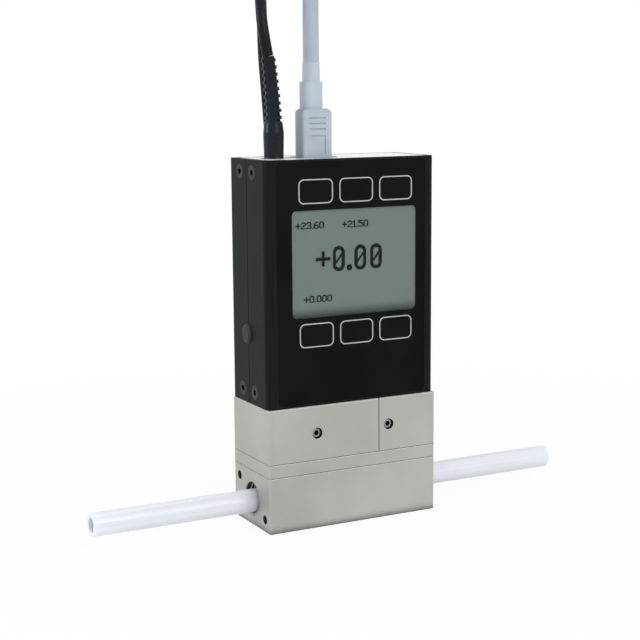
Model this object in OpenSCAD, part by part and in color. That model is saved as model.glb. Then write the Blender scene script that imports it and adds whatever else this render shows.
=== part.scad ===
// Liquid flow meter: steel block stack, black housing with display and keys, two tubes, two leads.
// X is the flow direction, the front faces -Y, Z is up. The origin is the middle of the bottom face.

/* [Steel blocks] */
// Width of the block stack along the flow
body_w = 60.5; // [56:0.5:70]
// Depth of the block stack, front to back
body_d = 26.7; // [25.5:0.1:32]
// Height of the flow body
base_h = 18; // [17:0.5:24]
// Thickness of the cover plate
plate_h = 4.3; // [3.5:0.1:7]
// Height of the two upper blocks
block_h = 17.7; // [16:0.1:24]
// Width of the sensor block, the larger upper block
sensor_block_w = 39.5; // [38:0.5:42]
// Gap between the two upper blocks
block_gap = 0.1; // [0.05:0.05:0.5]
// Chamfer on the outer edges of the blocks
edge_chamfer = 0.3; // [0.2:0.1:1]
// Chamfer where blocks meet
joint_chamfer = 0.15; // [0.05:0.05:0.3]

/* [Ports] */
// Height of the port centres above the bottom
port_z = 9.1; // [8.5:0.1:9.5]
// Diameter of the port mouth
port_mouth_d = 10.3; // [9.9:0.1:11]
// Diameter of the threaded part of the port
port_thread_d = 9.8; // [9.6:0.1:10]
// Depth of the threaded part
port_thread_l = 9; // [6:0.5:10]
// Depth of the seat beyond the thread that the tube ends in
tube_seat_l = 5; // [3.5:0.5:6]
// Diameter of the passage from the seat to the chamber
passage_d = 4.5; // [3:0.1:5]
// Diameter of the tapped holes beside each port
end_hole_d = 3; // [2:0.1:3.4]
// Depth of those holes
end_hole_l = 6.5; // [4:0.5:8]
// Distance of those holes from the port axis, across the body
end_hole_y = 9.5; // [8.5:0.1:10]
// Distance of those holes from the port axis, up and down
end_hole_z = 5.1; // [4.5:0.1:5.5]

/* [Mounting holes] */
// Spacing of the bottom holes along the flow
mount_x = 36; // [32:1:40]
// Spacing of the bottom holes across the flow
mount_y = 18.4; // [17.6:0.1:19]
// Diameter of the bottom holes
mount_d = 3.5; // [3:0.1:4]
// Depth of the bottom holes
mount_l = 7; // [5:0.5:8]

/* [Flow chamber] */
// Distance of the chamber from the inlet end
chamber_inset = 15.25; // [15:0.25:16.25]
// Length of the chamber
chamber_l = 17; // [16:0.5:18]
// Width of the chamber
chamber_w = 12; // [10:0.5:13]
// Height of the chamber floor above the bottom
chamber_z = 4; // [3:0.5:5]
// Length of the laminar element
element_l = 10; // [8:0.5:11]
// Thickness of one plate of the laminar element
lamina_t = 0.8; // [0.6:0.1:1.2]
// Height of one slit between the plates
slit_t = 0.5; // [0.3:0.1:0.8]
// Clearance of the element in its chamber, each side
element_clearance = 0.1; // [0.05:0.05:0.2]
// Width of the gasket round the chamber
gasket_w = 1.6; // [1:0.1:1.6]
// Thickness of the gasket
gasket_t = 0.8; // [0.5:0.1:1.2]
// Diameter of the pressure taps
tap_d = 2; // [1:0.1:2.2]
// Outer diameter of the tap seals
tap_seal_d = 4.4; // [4:0.1:4.8]
// Thickness of the tap seals
tap_seal_t = 1; // [0.8:0.1:1.4]

/* [Block screws] */
// Shank diameter of the block screws
block_screw_d = 3; // [2.5:0.1:3.4]
// Head diameter of the block screws
block_screw_head_d = 5.5; // [4.5:0.1:6]
// Head height of the block screws
block_screw_head_h = 3; // [2.5:0.1:4]
// Depth of the head below the top of the blocks
block_screw_sink = 1; // [0.5:0.1:1.5]
// Thread engagement in the flow body
block_screw_grip = 9; // [7:0.5:9.5]
// Distance of the block screws from the middle, front and back
block_screw_y = 9.2; // [8.8:0.1:9.6]
// Diameter of the bleed screws
bleed_screw_d = 3.6; // [3:0.1:4]
// Length of the bleed screws
bleed_screw_l = 5; // [4:0.5:5.5]
// Depth of the bleed screws below the front face
bleed_screw_sink = 0.8; // [0.5:0.1:1.2]
// Height of the bleed screws above the bottom of the upper blocks
bleed_screw_z = 8.7; // [7:0.1:10]

/* [Sensors] */
// Diameter of the differential pressure sensor
difference_sensor_d = 17.6; // [15:0.1:18]
// Diameter of the line pressure sensor
line_sensor_d = 11; // [9:0.1:11.2]
// Depth of the sensor pockets
sensor_pocket_l = 6.5; // [5:0.5:7]
// Height that the sensors stand proud of the blocks
sensor_proud = 2.2; // [1:0.1:2.4]
// Diameter of the temperature probe
probe_d = 1.6; // [1.2:0.1:2]

/* [Housing] */
// Height of the housing
housing_h = 77.5; // [74:0.5:90]
// Step of the housing behind the sides of the blocks
side_step = 0.1; // [0.1:0.1:0.6]
// Step of the housing behind the front of the blocks
front_step = 0.5; // [0.2:0.1:1]
// Radius of the front shell's upright corners
corner_r = 2.2; // [1:0.1:4]
// Radius of the rear shell's upright corners
rear_corner_r = 0.5; // [0.3:0.1:2]
// Place of the seam between the shells, behind the middle
seam_y = 1; // [0:0.1:1.5]
// Width of the groove along the seam
seam_groove = 0.3; // [0.1:0.05:0.4]
// Wall of the extruded shells
wall = 2; // [1.8:0.1:2.4]
// Thickness of the top cap's plate
cap_t = 3; // [2.4:0.1:4]
// Height of the top cap's side flanges
cap_flange_h = 7.5; // [7:0.1:9]
// Thickness of the flanges of cap and bracket
flange_t = 4; // [3.5:0.1:4.5]
// Thickness of the bracket's plate
bracket_t = 2.5; // [2:0.1:2.6]
// Height of the bracket's side flanges
bracket_flange_h = 8; // [7:0.1:9]
// Clearance of the cap and bracket inside the shells
cap_clearance = 0.05; // [0.05:0.05:0.2]

/* [Side screws] */
// Head diameter of the side screws
side_screw_head_d = 4.6; // [3.6:0.1:4.8]
// Shank diameter of the side screws
side_screw_d = 2.2; // [1.8:0.1:2.4]
// Width of the side screws' hex socket, across its corners
side_screw_socket = 2.1; // [1.4:0.1:2.1]
// Length of the side screws
side_screw_l = 5; // [4:0.1:5.4]
// Distance of the front row of side screws from the middle
side_screw_front = 3; // [2.6:0.1:4]
// Distance of the rear row of side screws from the middle
side_screw_rear = 6; // [4:0.1:7]
// Distance of the side screws from the ends of the housing
side_screw_end = 4; // [3:0.1:4.5]
// Diameter of the side plug's head
side_plug_d = 6.6; // [5:0.1:8]
// Height of the side plug above the bottom of the housing
side_plug_z = 22.3; // [18:0.1:30]
// Distance of the side plug behind the middle
side_plug_y = 1.75; // [0:0.05:2]

/* [Front panel] */
// Distance of the overlay from the sides of the housing
overlay_side = 3.6; // [3.4:0.05:4]
// Margin of the overlay at the top and bottom of the housing
overlay_margin = 0.7; // [0.5:0.1:1.5]
// Thickness of the overlay
overlay_t = 0.5; // [0.4:0.05:0.6]
// How far the overlay lies below the front face
overlay_sink = 0.1; // [0:0.05:0.3]
// Corner radius of the overlay
overlay_r = 1.8; // [1:0.1:2.5]
// Sideways place of the display and the keys
panel_x = 1.1; // [0:0.05:1.4]
// Distance of the window from the sides of the overlay
window_side = 4.2; // [4:0.05:6]
// Distance of the window from the bottom of the housing
window_low = 28.05; // [27:0.05:30]
// Distance of the window from the top of the housing
window_high = 15.75; // [15:0.05:18]
// Corner radius of the window
window_r = 1.5; // [1:0.1:2]
// Sideways place of the keys off the window's middle
key_shift = 0.3; // [0:0.05:0.6]
// Distance of the outer keys from the window's sides, along the row
key_inset = 2.05; // [1:0.05:4]
// Gap between two keys
key_gap = 2.3; // [1.5:0.1:4]
// Height of a key outline
key_h = 7.65; // [6:0.05:8]
// Corner radius of a key outline
key_r = 1.8; // [1:0.1:2]
// Line width of a key outline
key_line = 0.35; // [0.3:0.05:0.6]
// Height of the printed line
key_print_t = 0.06; // [0.04:0.01:0.1]
// Distance of the upper keys' middle from the top of the housing
key_high = 9.9; // [8.5:0.1:10.6]
// Distance of the lower keys' middle from the bottom of the housing
key_low = 22.5; // [21:0.1:22.8]

/* [Electronics] */
// Thickness of the circuit boards
board_t = 1.2; // [1:0.1:1.6]
// Gap between the main board and the sides of the housing, inside
main_board_gap = 0.65; // [0.4:0.05:1]
// Height of the main board's foot above the bottom of the housing
main_board_foot = 15.7; // [14:0.1:20]
// Gap between the display board and the cap's flanges, each side
display_board_gap = 0.5; // [0.3:0.1:1]
// Height of the display board's foot above the bottom of the housing
display_board_foot = 14.1; // [13.5:0.1:17]
// Thickness of the display glass
glass_t = 2.2; // [1.8:0.1:2.4]
// Thickness of the display frame
display_frame_t = 2.9; // [2.8:0.1:3]
// Distance of the main board behind the middle
main_board_y = 7; // [6.9:0.1:7.2]
// Side of a key switch
switch_w = 6; // [5:0.1:6.4]
// Diameter of a key switch's button
switch_button_d = 3.4; // [2.8:0.1:4]
// Diameter of the board spacers
spacer_d = 4.6; // [4:0.1:5.5]

/* [Tubes] */
// Outer diameter of the tubes
tube_d = 7.5; // [6.5:0.1:7.6]
// Inner diameter of the tubes
tube_bore_d = 4.8; // [4:0.1:5.2]
// Length of tube that stands out of the body
tube_reach = 54.25; // [40:0.25:80]
// Height of the tube axis above the bottom
tube_z = 8; // [7.8:0.1:8.4]
// Clearance of the tube in its seat, all round
tube_clearance = 0.1; // [0.05:0.05:0.15]
// Width of the tube seal
tube_seal_w = 1.8; // [1.4:0.1:2.2]
// Depth of the tube seal in its groove
tube_seal_t = 1.3; // [1:0.1:1.6]

/* [Power plug] */
// Distance of the power plug's axis from the inlet end
power_inset = 9.25; // [8.75:0.05:9.65]
// Diameter of the plug body at its foot
power_body_d = 6.2; // [5.5:0.1:7]
// Largest diameter of the plug body
power_body_max_d = 6.5; // [6:0.1:7.4]
// Height of the plug body above the cap
power_body_h = 11.5; // [9:0.1:14]
// Diameter of the plug's metal barrel
power_barrel_d = 4; // [3.4:0.1:4.4]
// Length of the barrel
power_barrel_l = 8; // [6:0.5:9]
// Number of rings on the strain relief
relief_rings = 9; // [7:1:9]
// Spacing of the rings
relief_pitch = 2.2; // [2.1:0.1:2.3]
// Diameter of the first ring
relief_start_d = 5.4; // [5.2:0.1:6.2]
// Diameter of the last ring
relief_end_d = 4.6; // [4.4:0.1:5]
// Thickness of a ring
relief_ring_t = 1; // [0.8:0.1:1.2]

/* [Data plug] */
// Distance of the data plug's axis from the inlet end
data_inset = 22.35; // [22.05:0.05:22.65]
// Place of the data socket behind the middle
data_y = -0.5; // [-0.8:0.1:0]
// Radius of the plug's round back
data_back_r = 5.15; // [5:0.05:5.6]
// Distance of the plug's flat front from its axis
data_front = 4.6; // [4.2:0.1:4.8]
// Radius of the front corners
data_corner_r = 1; // [0.6:0.1:1.4]
// Height of the plug body above the cap
data_body_h = 15.2; // [14:0.1:18]
// Depth of the plug body below the cap's top
data_body_sink = 1.9; // [1.5:0.1:2.2]
// Width of the neck
data_neck_w = 7.2; // [6.8:0.1:8.4]
// Depth of the neck
data_neck_d = 5.6; // [5.2:0.1:6.4]
// Length of the neck
data_neck_l = 8.4; // [6:0.1:10]
// Length of the taper from the neck to the cord
data_taper_l = 6; // [4:0.5:8]
// Outer diameter of the plug's metal shell
data_shell_d = 9; // [8.6:0.1:9.4]
// Wall of the metal shell
data_shell_t = 0.4; // [0.3:0.05:0.5]
// Length of the metal shell
data_shell_l = 7.5; // [6:0.5:8]
// Diameter of the opening in the cap round the plug
data_opening_d = 16.4; // [15:0.1:17]

/* [Cords] */
// Diameter of the power cord
power_cord_d = 3.5; // [3.2:0.1:3.8]
// Diameter of the data cord
data_cord_d = 5; // [4.6:0.1:5.2]
// Sideways place of the coils
coil_x = 28; // [28:1:30]
// Place of the coils behind the meter
coil_y = 49; // [49:1:52]
// Mean radius of the data coil
data_coil_r = 27.5; // [27:0.5:28]
// Turns of the data coil side by side
data_coil_columns = 2; // [2:1:2]
// Turns of the data coil one on another
data_coil_layers = 4; // [4:1:4]
// Mean radius of the power coil
power_coil_r = 21; // [20:0.5:22]
// Turns of the power coil side by side
power_coil_columns = 3; // [3:1:3]
// Turns of the power coil one on another
power_coil_layers = 3; // [3:1:3]

/* [Hidden] */
$fn = 48;
// Overlap that lets a cut pass right through a face
cut = 0.5;
steel = [0.70, 0.70, 0.67];
black = [0.12, 0.13, 0.13];
half_w = body_w / 2;
half_d = body_d / 2;
plate_z = base_h;
block_z = base_h + plate_h;
housing_z = block_z + block_h;
top_z = housing_z + housing_h;
split_x = -half_w + sensor_block_w;

// Ports and tubes
port_mouth_chamfer = (port_mouth_d - port_thread_d) / 2;
seat_d = tube_d + 2 * tube_clearance;
seat_end = half_w - port_thread_l - tube_seat_l;
tube_seal_x = half_w - port_thread_l - tube_seat_l / 2;
tube_end = half_w + tube_reach;

// Chamber, taps and screws of the block stack
chamber_x = -half_w + chamber_inset;
chamber_end = chamber_x + chamber_l;
chamber_corner_r = 1.5;
element_x = chamber_x + (chamber_l - element_l) / 2;
high_tap_x = (chamber_x + element_x) / 2;
low_tap_x = (chamber_end + element_x + element_l) / 2;
probe_x = split_x - 3.2;
line_tap_x = split_x + 3.6;
tap_xs = [high_tap_x, low_tap_x, probe_x, line_tap_x];
probe_clearance = 0.1;
difference_x = (high_tap_x + low_tap_x) / 2;
line_x = (split_x + half_w) / 2;
pocket_clearance = 0.2;
block_screw_xs = [-half_w + 10.75, split_x - 4.75, line_x];
screw_clearance = 0.15;
bleed_y = -half_d;
bracket_screw_x = half_w - 4.65;
bracket_screw_ys = [-8.3, 8.9];
bracket_screw_d = 2.5;
bracket_screw_head_d = 3.4;
bracket_screw_head_h = 1.6;
bracket_screw_l = 8;

// Housing
shell_w = body_w - 2 * side_step;
shell_front = half_d - front_step;
inner_w = shell_w - 2 * wall;
flange_w = inner_w - 2 * cap_clearance;
side_screw_top = top_z - side_screw_end;
side_screw_low = housing_z + side_screw_end;
shell_inner_r = 0.8;
inner_corner_r = shell_inner_r + 0.2;
rib_t = 1.2;
rib_reach = 1.7;
rib_gap = 0.1;
rib_start = 2;
rib_end = 0.3;
inner_back = shell_front - wall;

// Front panel
overlay_face = -shell_front + overlay_sink;
overlay_back = overlay_face + overlay_t;
overlay_w = shell_w - 2 * overlay_side;
overlay_h = housing_h - 2 * overlay_margin;
overlay_z = housing_z + overlay_margin;
window_w = overlay_w - 2 * window_side;
window_h = housing_h - window_low - window_high;
window_mid = housing_z + window_low + window_h / 2;
key_w = (window_w - 2 * key_inset - 2 * key_gap) / 3;
key_pitch = key_w + key_gap;
key_mid = panel_x + key_shift;
key_xs = [-1, 0, 1];
key_zs = [key_low, housing_h - key_high];
key_hole_d = 5;

// Boards, front to back
glass_y = overlay_back + 0.05;
inner_front = -shell_front + wall;
display_frame_y = inner_front + 0.05;
display_board_y = display_frame_y + display_frame_t;
spacer_l = main_board_y - display_board_y - board_t;
cap_board_gap = 0.4;
main_board_w = inner_w - 2 * main_board_gap;
main_board_z = housing_z + main_board_foot;
main_board_h = housing_h - main_board_foot - cap_flange_h - rib_end;
display_board_w = flange_w - 2 * flange_t - 2 * display_board_gap;
display_board_z = housing_z + display_board_foot;
display_board_h = housing_h - display_board_foot - cap_t - cap_board_gap;
spacer_edge = 0.6;
spacer_x = (display_board_w - spacer_d) / 2 - spacer_edge;
spacer_zs = [display_board_z + 4, display_board_z + display_board_h - 16];
header_x = 5;
header_w = 10;
header_foot = 3;
header_z = main_board_z + header_foot;
header_t = 5;
sensor_board_z = housing_z + bracket_t + 3;
board_screw_d = 2;
board_screw_head_d = 3.8;
board_screw_head_h = 1.4;
board_screw_grip = 4;
// Chips on the main board: left edge, foot, width, height and thickness
chips = [[2, 20, 12, 12, 1.6], [-16, 24, 9, 6, 1.4], [16, 16, 6, 9, 1.4]];
capacitor_xs = [-14, -7, 0];
capacitor_z = 12;
capacitor_d = 5;
capacitor_h = 6;
sensor_board_d = 14;
sensor_board_reach = 8;
sensor_board_end = 3.8;
probe_head_d = 3;
power_x = -half_w + power_inset;
data_x = -half_w + data_inset;

// Power plug: the relief bends to the left, and its lean is in degrees
relief_lean_start = 2;
relief_lean_end = 8;
relief_z = top_z + power_body_h;

// Data plug
data_face_z = top_z - data_body_sink;
data_socket_l = 12;
data_socket_d = 12;
data_base_t = 1;
pin_d = 0.7;

// Routes of the cords, chosen by hand. Each starts at its strain relief and ends at its coil.
data_route = [
    [-7.9, -0.5, 147.1], [-7.9, -0.5, 153], [-7.5, 0.3, 160], [-5.8, 3.5, 167], [-3, 9, 173],
    [1.3, 17.3, 176], [5.5, 25.5, 173], [8.5, 31, 167], [10, 34.2, 160], [10.4, 35, 152],
    [10.3, 34.6, 142], [10, 33.5, 130], [9.6, 32, 117], [9.1, 30, 104], [8.5, 27.5, 91],
    [7.8, 24.8, 78], [7.1, 22.2, 66], [6.5, 20.2, 55], [6.1, 19.3, 46], [6.4, 19, 37],
    [8.4, 19, 30], [13.6, 19, 25], [20.4, 19, 22.8], [28, 19, 22.6]];
power_route = [
    [-22.61, 0, 148.97], [-23.5, 0.1, 154], [-24, 0.8, 159], [-23.6, 2.5, 164], [-21.9, 6.5, 168.5],
    [-18.5, 13.5, 170.5], [-15, 20.5, 168.5], [-12.8, 24.8, 164], [-11.8, 26.7, 158],
    [-11.2, 27.4, 149], [-10.1, 28, 138], [-8.9, 28.7, 126], [-7.7, 29.4, 114], [-6.5, 30.1, 102],
    [-5.3, 30.8, 90], [-4.1, 31.5, 78], [-2.9, 32.2, 66], [-1.8, 32.8, 55], [-0.9, 33.5, 46],
    [-0.3, 35, 37], [-0.1, 38.3, 29.5], [-0.1, 43.3, 24], [-0.1, 49, 21.85]];
// From the data coil to the far plug, which lies on the ground beside it
data_tail_route = [[62.5, 52.1, 4.6], [63.556, 54.366, 4.6]];
// The last half turn of the power cord lies on its coil
power_tail_route = [
    [28, 66.5, 32.3], [34.4, 65.5, 32.3], [40.2, 62, 32.3], [44.2, 57.4, 32.3], [46.8, 51.5, 32.3],
    [47.3, 45.5, 32.3], [45.8, 39.5, 32.3]];
data_far_turn = -24.98;
data_far = [63.556, 54.366, 4.6];
core_l = 12;
strip_l = 5;
core_d = 1.3;

// A rectangle whose corners are chamfered by c, counted from the lower left, anticlockwise
module chamfered(x0, y0, x1, y1, c) {
    polygon([
        [x0 + c[0], y0], [x1 - c[1], y0], [x1, y0 + c[1]], [x1, y1 - c[2]],
        [x1 - c[2], y1], [x0 + c[3], y1], [x0, y1 - c[3]], [x0, y0 + c[0]]]);
}

// A steel block between two places along X and two heights, with the given edge chamfers
module steel_block(x0, x1, z0, z1, left, right, low, high) {
    intersection() {
        translate([0, 0, z0]) linear_extrude(z1 - z0)
            chamfered(x0, -half_d, x1, half_d, [left, right, right, left]);
        translate([0, half_d, 0]) rotate([90, 0, 0]) linear_extrude(body_d)
            chamfered(x0, z0, x1, z1, [low, low, high, high]);
        translate([x0, 0, 0]) rotate([90, 0, 90]) linear_extrude(x1 - x0)
            chamfered(-half_d, z0, half_d, z1, [low, low, high, high]);
    }
}

// A rectangle with round corners about its middle
module round_rect(w, h, r) {
    square([w - 2 * r, h], center = true);
    square([w, h - 2 * r], center = true);
    for (x = [-1, 1], y = [-1, 1])
        translate([x * (w / 2 - r), y * (h / 2 - r)]) circle(r);
}

// A round hole down from a height
module down_hole(x, y, z, d, l) {
    translate([x, y, z - l]) cylinder(d = d, h = l + cut);
}

// Stands a flat shape in the plane y, thick towards the back
module upright(y, t) {
    translate([0, y + t, 0]) rotate([90, 0, 0]) linear_extrude(t) children();
}

// The port, tube seat and passage of the left end
module port_bore(passage_end) {
    translate([-half_w - cut, 0, port_z]) rotate([0, 90, 0]) {
        cylinder(d = port_mouth_d + 2 * cut, h = cut);
        cylinder(d = port_thread_d, h = port_thread_l + cut);
        translate([0, 0, cut])
            cylinder(d1 = port_mouth_d, d2 = port_thread_d, h = port_mouth_chamfer);
    }
    translate([-half_w, 0, tube_z]) rotate([0, 90, 0]) {
        cylinder(d = seat_d, h = port_thread_l + tube_seat_l);
        cylinder(d = passage_d, h = half_w - passage_end + cut);
    }
    translate([-tube_seal_x - tube_seal_w / 2, 0, tube_z]) rotate([0, 90, 0])
        cylinder(d = seat_d + 2 * tube_seal_t, h = tube_seal_w);
    for (s = [-1, 1])
        translate([-half_w - cut, s * end_hole_y, port_z + s * end_hole_z]) rotate([0, 90, 0])
            cylinder(d = end_hole_d, h = end_hole_l + cut);
}

module flow_body() {
    color(steel) difference() {
        steel_block(-half_w, half_w, 0, base_h,
            edge_chamfer, edge_chamfer, edge_chamfer / 2, joint_chamfer);
        port_bore(-chamber_x);
        rotate([0, 0, 180]) port_bore(chamber_end);
        translate([chamber_x + chamber_l / 2, 0, chamber_z]) linear_extrude(base_h)
            round_rect(chamber_l, chamber_w, chamber_corner_r);
        translate([chamber_x + chamber_l / 2, 0, base_h - gasket_t]) linear_extrude(gasket_t + cut)
            round_rect(chamber_l + 2 * gasket_w, chamber_w + 2 * gasket_w, chamber_corner_r + gasket_w);
        down_hole(line_tap_x, 0, base_h, tap_d, base_h - tube_z);
        down_hole(probe_x, 0, base_h, probe_d + 2 * probe_clearance, base_h - tube_z);
        for (x = block_screw_xs, y = [-1, 1])
            down_hole(x, y * block_screw_y, base_h, block_screw_d, block_screw_grip);
        for (x = [-1, 1], y = [-1, 1])
            translate([x * mount_x / 2, y * mount_y / 2, -cut]) cylinder(d = mount_d, h = mount_l + cut);
    }
}

// A comb of thin plates, joined along both sides, with the slits along the flow
module laminar_element() {
    w = chamber_w - 2 * element_clearance;
    h = base_h - gasket_t - chamber_z;
    rail = 1;
    pitch = lamina_t + slit_t;
    slits = floor((h - lamina_t) / pitch);
    color("silver") translate([element_x, -w / 2, chamber_z]) difference() {
        cube([element_l, w, h]);
        for (i = [0 : slits - 1])
            translate([-cut, rail, lamina_t + i * pitch]) cube([element_l + 2 * cut, w - 2 * rail, slit_t]);
    }
}

module chamber_gasket() {
    color("dimgray") translate([chamber_x + chamber_l / 2, 0, base_h - gasket_t]) linear_extrude(gasket_t)
        difference() {
            round_rect(chamber_l + 2 * gasket_w, chamber_w + 2 * gasket_w, chamber_corner_r + gasket_w);
            round_rect(chamber_l, chamber_w, chamber_corner_r);
        }
}

module cover_plate() {
    color(steel) difference() {
        steel_block(-half_w, half_w, plate_z, block_z, edge_chamfer, edge_chamfer, joint_chamfer, joint_chamfer);
        for (x = tap_xs) {
            down_hole(x, 0, block_z, tap_d, plate_h + cut);
            down_hole(x, 0, block_z, tap_seal_d, tap_seal_t);
        }
        for (x = block_screw_xs, y = [-1, 1])
            down_hole(x, y * block_screw_y, block_z, block_screw_d + 2 * screw_clearance, plate_h + cut);
    }
}

module tap_seals() {
    color("dimgray") for (x = tap_xs)
        translate([x, 0, block_z - tap_seal_t]) difference() {
            cylinder(d = tap_seal_d, h = tap_seal_t);
            translate([0, 0, -cut]) cylinder(d = tap_d, h = tap_seal_t + 2 * cut);
        }
}

// Holes for a block screw and its head in an upper block
module block_screw_hole(x) {
    for (y = [-1, 1]) {
        down_hole(x, y * block_screw_y, housing_z, block_screw_d + 2 * screw_clearance, block_h + cut);
        down_hole(x, y * block_screw_y, housing_z, block_screw_head_d + 2 * screw_clearance,
            block_screw_head_h + block_screw_sink);
    }
}

// The bleed hole from the front face to the pressure tap at x
module bleed_hole(x) {
    translate([x, bleed_y - cut, block_z + bleed_screw_z]) rotate([-90, 0, 0]) {
        cylinder(d = bleed_screw_d, h = bleed_screw_sink + bleed_screw_l + 0.2 + cut);
        cylinder(d = tap_d / 2, h = half_d + cut);
    }
}

module sensor_block() {
    color(steel) difference() {
        steel_block(-half_w, split_x - block_gap / 2, block_z, housing_z,
            edge_chamfer, joint_chamfer, joint_chamfer, edge_chamfer);
        for (x = [high_tap_x, low_tap_x]) down_hole(x, 0, housing_z, tap_d, block_h + cut);
        down_hole(probe_x, 0, housing_z, probe_d + 2 * probe_clearance, block_h + cut);
        down_hole(difference_x, 0, housing_z, difference_sensor_d + 2 * pocket_clearance, sensor_pocket_l);
        for (i = [0, 1]) block_screw_hole(block_screw_xs[i]);
        bleed_hole(high_tap_x);
        for (y = bracket_screw_ys) down_hole(-bracket_screw_x, y, housing_z, bracket_screw_d, bracket_screw_l);
    }
}

module pressure_block() {
    color(steel) difference() {
        steel_block(split_x + block_gap / 2, half_w, block_z, housing_z,
            joint_chamfer, edge_chamfer, joint_chamfer, edge_chamfer);
        down_hole(line_tap_x, 0, housing_z - sensor_pocket_l, tap_d, block_h);
        down_hole(line_x, 0, housing_z, line_sensor_d + 2 * pocket_clearance, sensor_pocket_l);
        block_screw_hole(block_screw_xs[2]);
        bleed_hole(line_tap_x);
        for (y = bracket_screw_ys) down_hole(bracket_screw_x, y, housing_z, bracket_screw_d, bracket_screw_l);
    }
}

// A socket set screw with its head at the origin, running along +Z
module set_screw(d, l, socket) {
    chamfer = 0.4;
    difference() {
        union() {
            cylinder(d1 = d - 2 * chamfer, d2 = d, h = chamfer);
            translate([0, 0, chamfer]) cylinder(d = d, h = l - chamfer);
        }
        translate([0, 0, -cut]) cylinder(d = socket, h = d / 2 + cut, $fn = 6);
    }
}

module bleed_screws() {
    color("silver") for (x = [high_tap_x, line_tap_x])
        translate([x, bleed_y + bleed_screw_sink, block_z + bleed_screw_z]) rotate([-90, 0, 0])
            set_screw(bleed_screw_d, bleed_screw_l, bleed_screw_d * 0.5);
}

module block_screws() {
    head_z = housing_z - block_screw_sink - block_screw_head_h;
    tip_z = base_h - block_screw_grip + 0.5;
    color("silver") for (x = block_screw_xs, y = [-1, 1])
        translate([x, y * block_screw_y, tip_z]) difference() {
            union() {
                cylinder(d = block_screw_d, h = head_z - tip_z + cut);
                translate([0, 0, head_z - tip_z]) cylinder(d = block_screw_head_d, h = block_screw_head_h);
            }
            translate([0, 0, head_z - tip_z + block_screw_head_h / 2])
                cylinder(d = block_screw_head_d / 2, h = block_screw_head_h, $fn = 6);
        }
}

// A round pressure sensor can with a flange and pins, its ports below
module pressure_sensor(x, d, ports, pins) {
    floor_z = housing_z - sensor_pocket_l;
    h = sensor_pocket_l + sensor_proud;
    difference() {
        union() {
            translate([x, 0, floor_z]) cylinder(d = d, h = h);
            translate([x, 0, floor_z + h]) cylinder(d = d - 2, h = 0.6);
        }
        for (p = ports) translate([p, 0, floor_z - cut]) cylinder(d = tap_d, h = 2 + cut);
    }
    for (p = pins)
        translate([x + p[0], p[1], floor_z + h]) cylinder(d = 0.6, h = sensor_board_z - floor_z - h);
}

sensor_pins = [[-3, 0], [-1, 0], [1, 0], [3, 0]];

module difference_sensor() {
    color("silver") pressure_sensor(difference_x, difference_sensor_d, [high_tap_x, low_tap_x], sensor_pins);
}

module line_sensor() {
    color("silver") pressure_sensor(line_x, line_sensor_d, [line_tap_x], sensor_pins);
}

module temperature_probe() {
    color("silver") {
        translate([probe_x, 0, tube_z]) cylinder(d = probe_d, h = housing_z + 1 - tube_z);
        translate([probe_x, 0, housing_z]) cylinder(d = probe_head_d, h = 2);
    }
}

module tube_seals() {
    color("dimgray") for (s = [-1, 1])
        translate([s * tube_seal_x - tube_seal_w / 2, 0, tube_z]) rotate([0, 90, 0]) difference() {
            cylinder(d = seat_d + 2 * tube_seal_t, h = tube_seal_w);
            translate([0, 0, -cut]) cylinder(d = tube_d, h = tube_seal_w + 2 * cut);
        }
}

// Holes for the side screws through a shell or into a flange
module side_screw_holes(d) {
    for (x = [0, 1], y = [-side_screw_front, side_screw_rear], z = [side_screw_low, side_screw_top])
        mirror([x, 0, 0]) translate([-half_w, y, z]) rotate([0, 90, 0])
            cylinder(d = d, h = wall + flange_t + 1);
}

// Countersinks for the side screws
module side_screw_sinks() {
    for (x = [0, 1], y = [-side_screw_front, side_screw_rear], z = [side_screw_low, side_screw_top])
        mirror([x, 0, 0]) translate([-shell_w / 2 - cut, y, z]) rotate([0, 90, 0])
            cylinder(d1 = side_screw_head_d + 2 * cut, d2 = side_screw_d,
                h = (side_screw_head_d - side_screw_d) / 2 + cut);
}

module base_bracket() {
    plate_d = 2 * (shell_front - wall - cap_clearance);
    color("silver") difference() {
        translate([0, 0, housing_z]) linear_extrude(bracket_flange_h)
            round_rect(flange_w, plate_d, inner_corner_r);
        translate([-flange_w / 2 + flange_t, -half_d, housing_z + bracket_t])
            cube([flange_w - 2 * flange_t, body_d, bracket_flange_h]);
        translate([difference_x, 0, housing_z - cut])
            cylinder(d = difference_sensor_d + 1, h = bracket_t + 2 * cut);
        translate([line_x, 0, housing_z - cut]) cylinder(d = line_sensor_d + 1, h = bracket_t + 2 * cut);
        translate([probe_x, 0, housing_z - cut]) cylinder(d = 4, h = bracket_t + 2 * cut);
        for (x = [-1, 1], y = bracket_screw_ys)
            translate([x * bracket_screw_x, y, housing_z - cut])
                cylinder(d = bracket_screw_d + 0.3, h = bracket_flange_h + 2 * cut);
        side_screw_holes(side_screw_d);
    }
}

module bracket_screws() {
    color("silver") for (x = [-1, 1], y = bracket_screw_ys)
        translate([x * bracket_screw_x, y, housing_z]) {
            translate([0, 0, 0.5 - bracket_screw_l])
                cylinder(d = bracket_screw_d, h = bracket_screw_l + bracket_flange_h);
            translate([0, 0, bracket_flange_h]) cylinder(d = bracket_screw_head_d, h = bracket_screw_head_h);
        }
}

// Outline of the front half of the housing, seen from above
module half_outline(w, front, r) {
    translate([-w / 2, -front + r]) square([w, front - r]);
    translate([-w / 2 + r, -front]) square([w - 2 * r, front]);
    for (x = [-1, 1]) translate([x * (w / 2 - r), -front + r]) circle(r);
}

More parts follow.
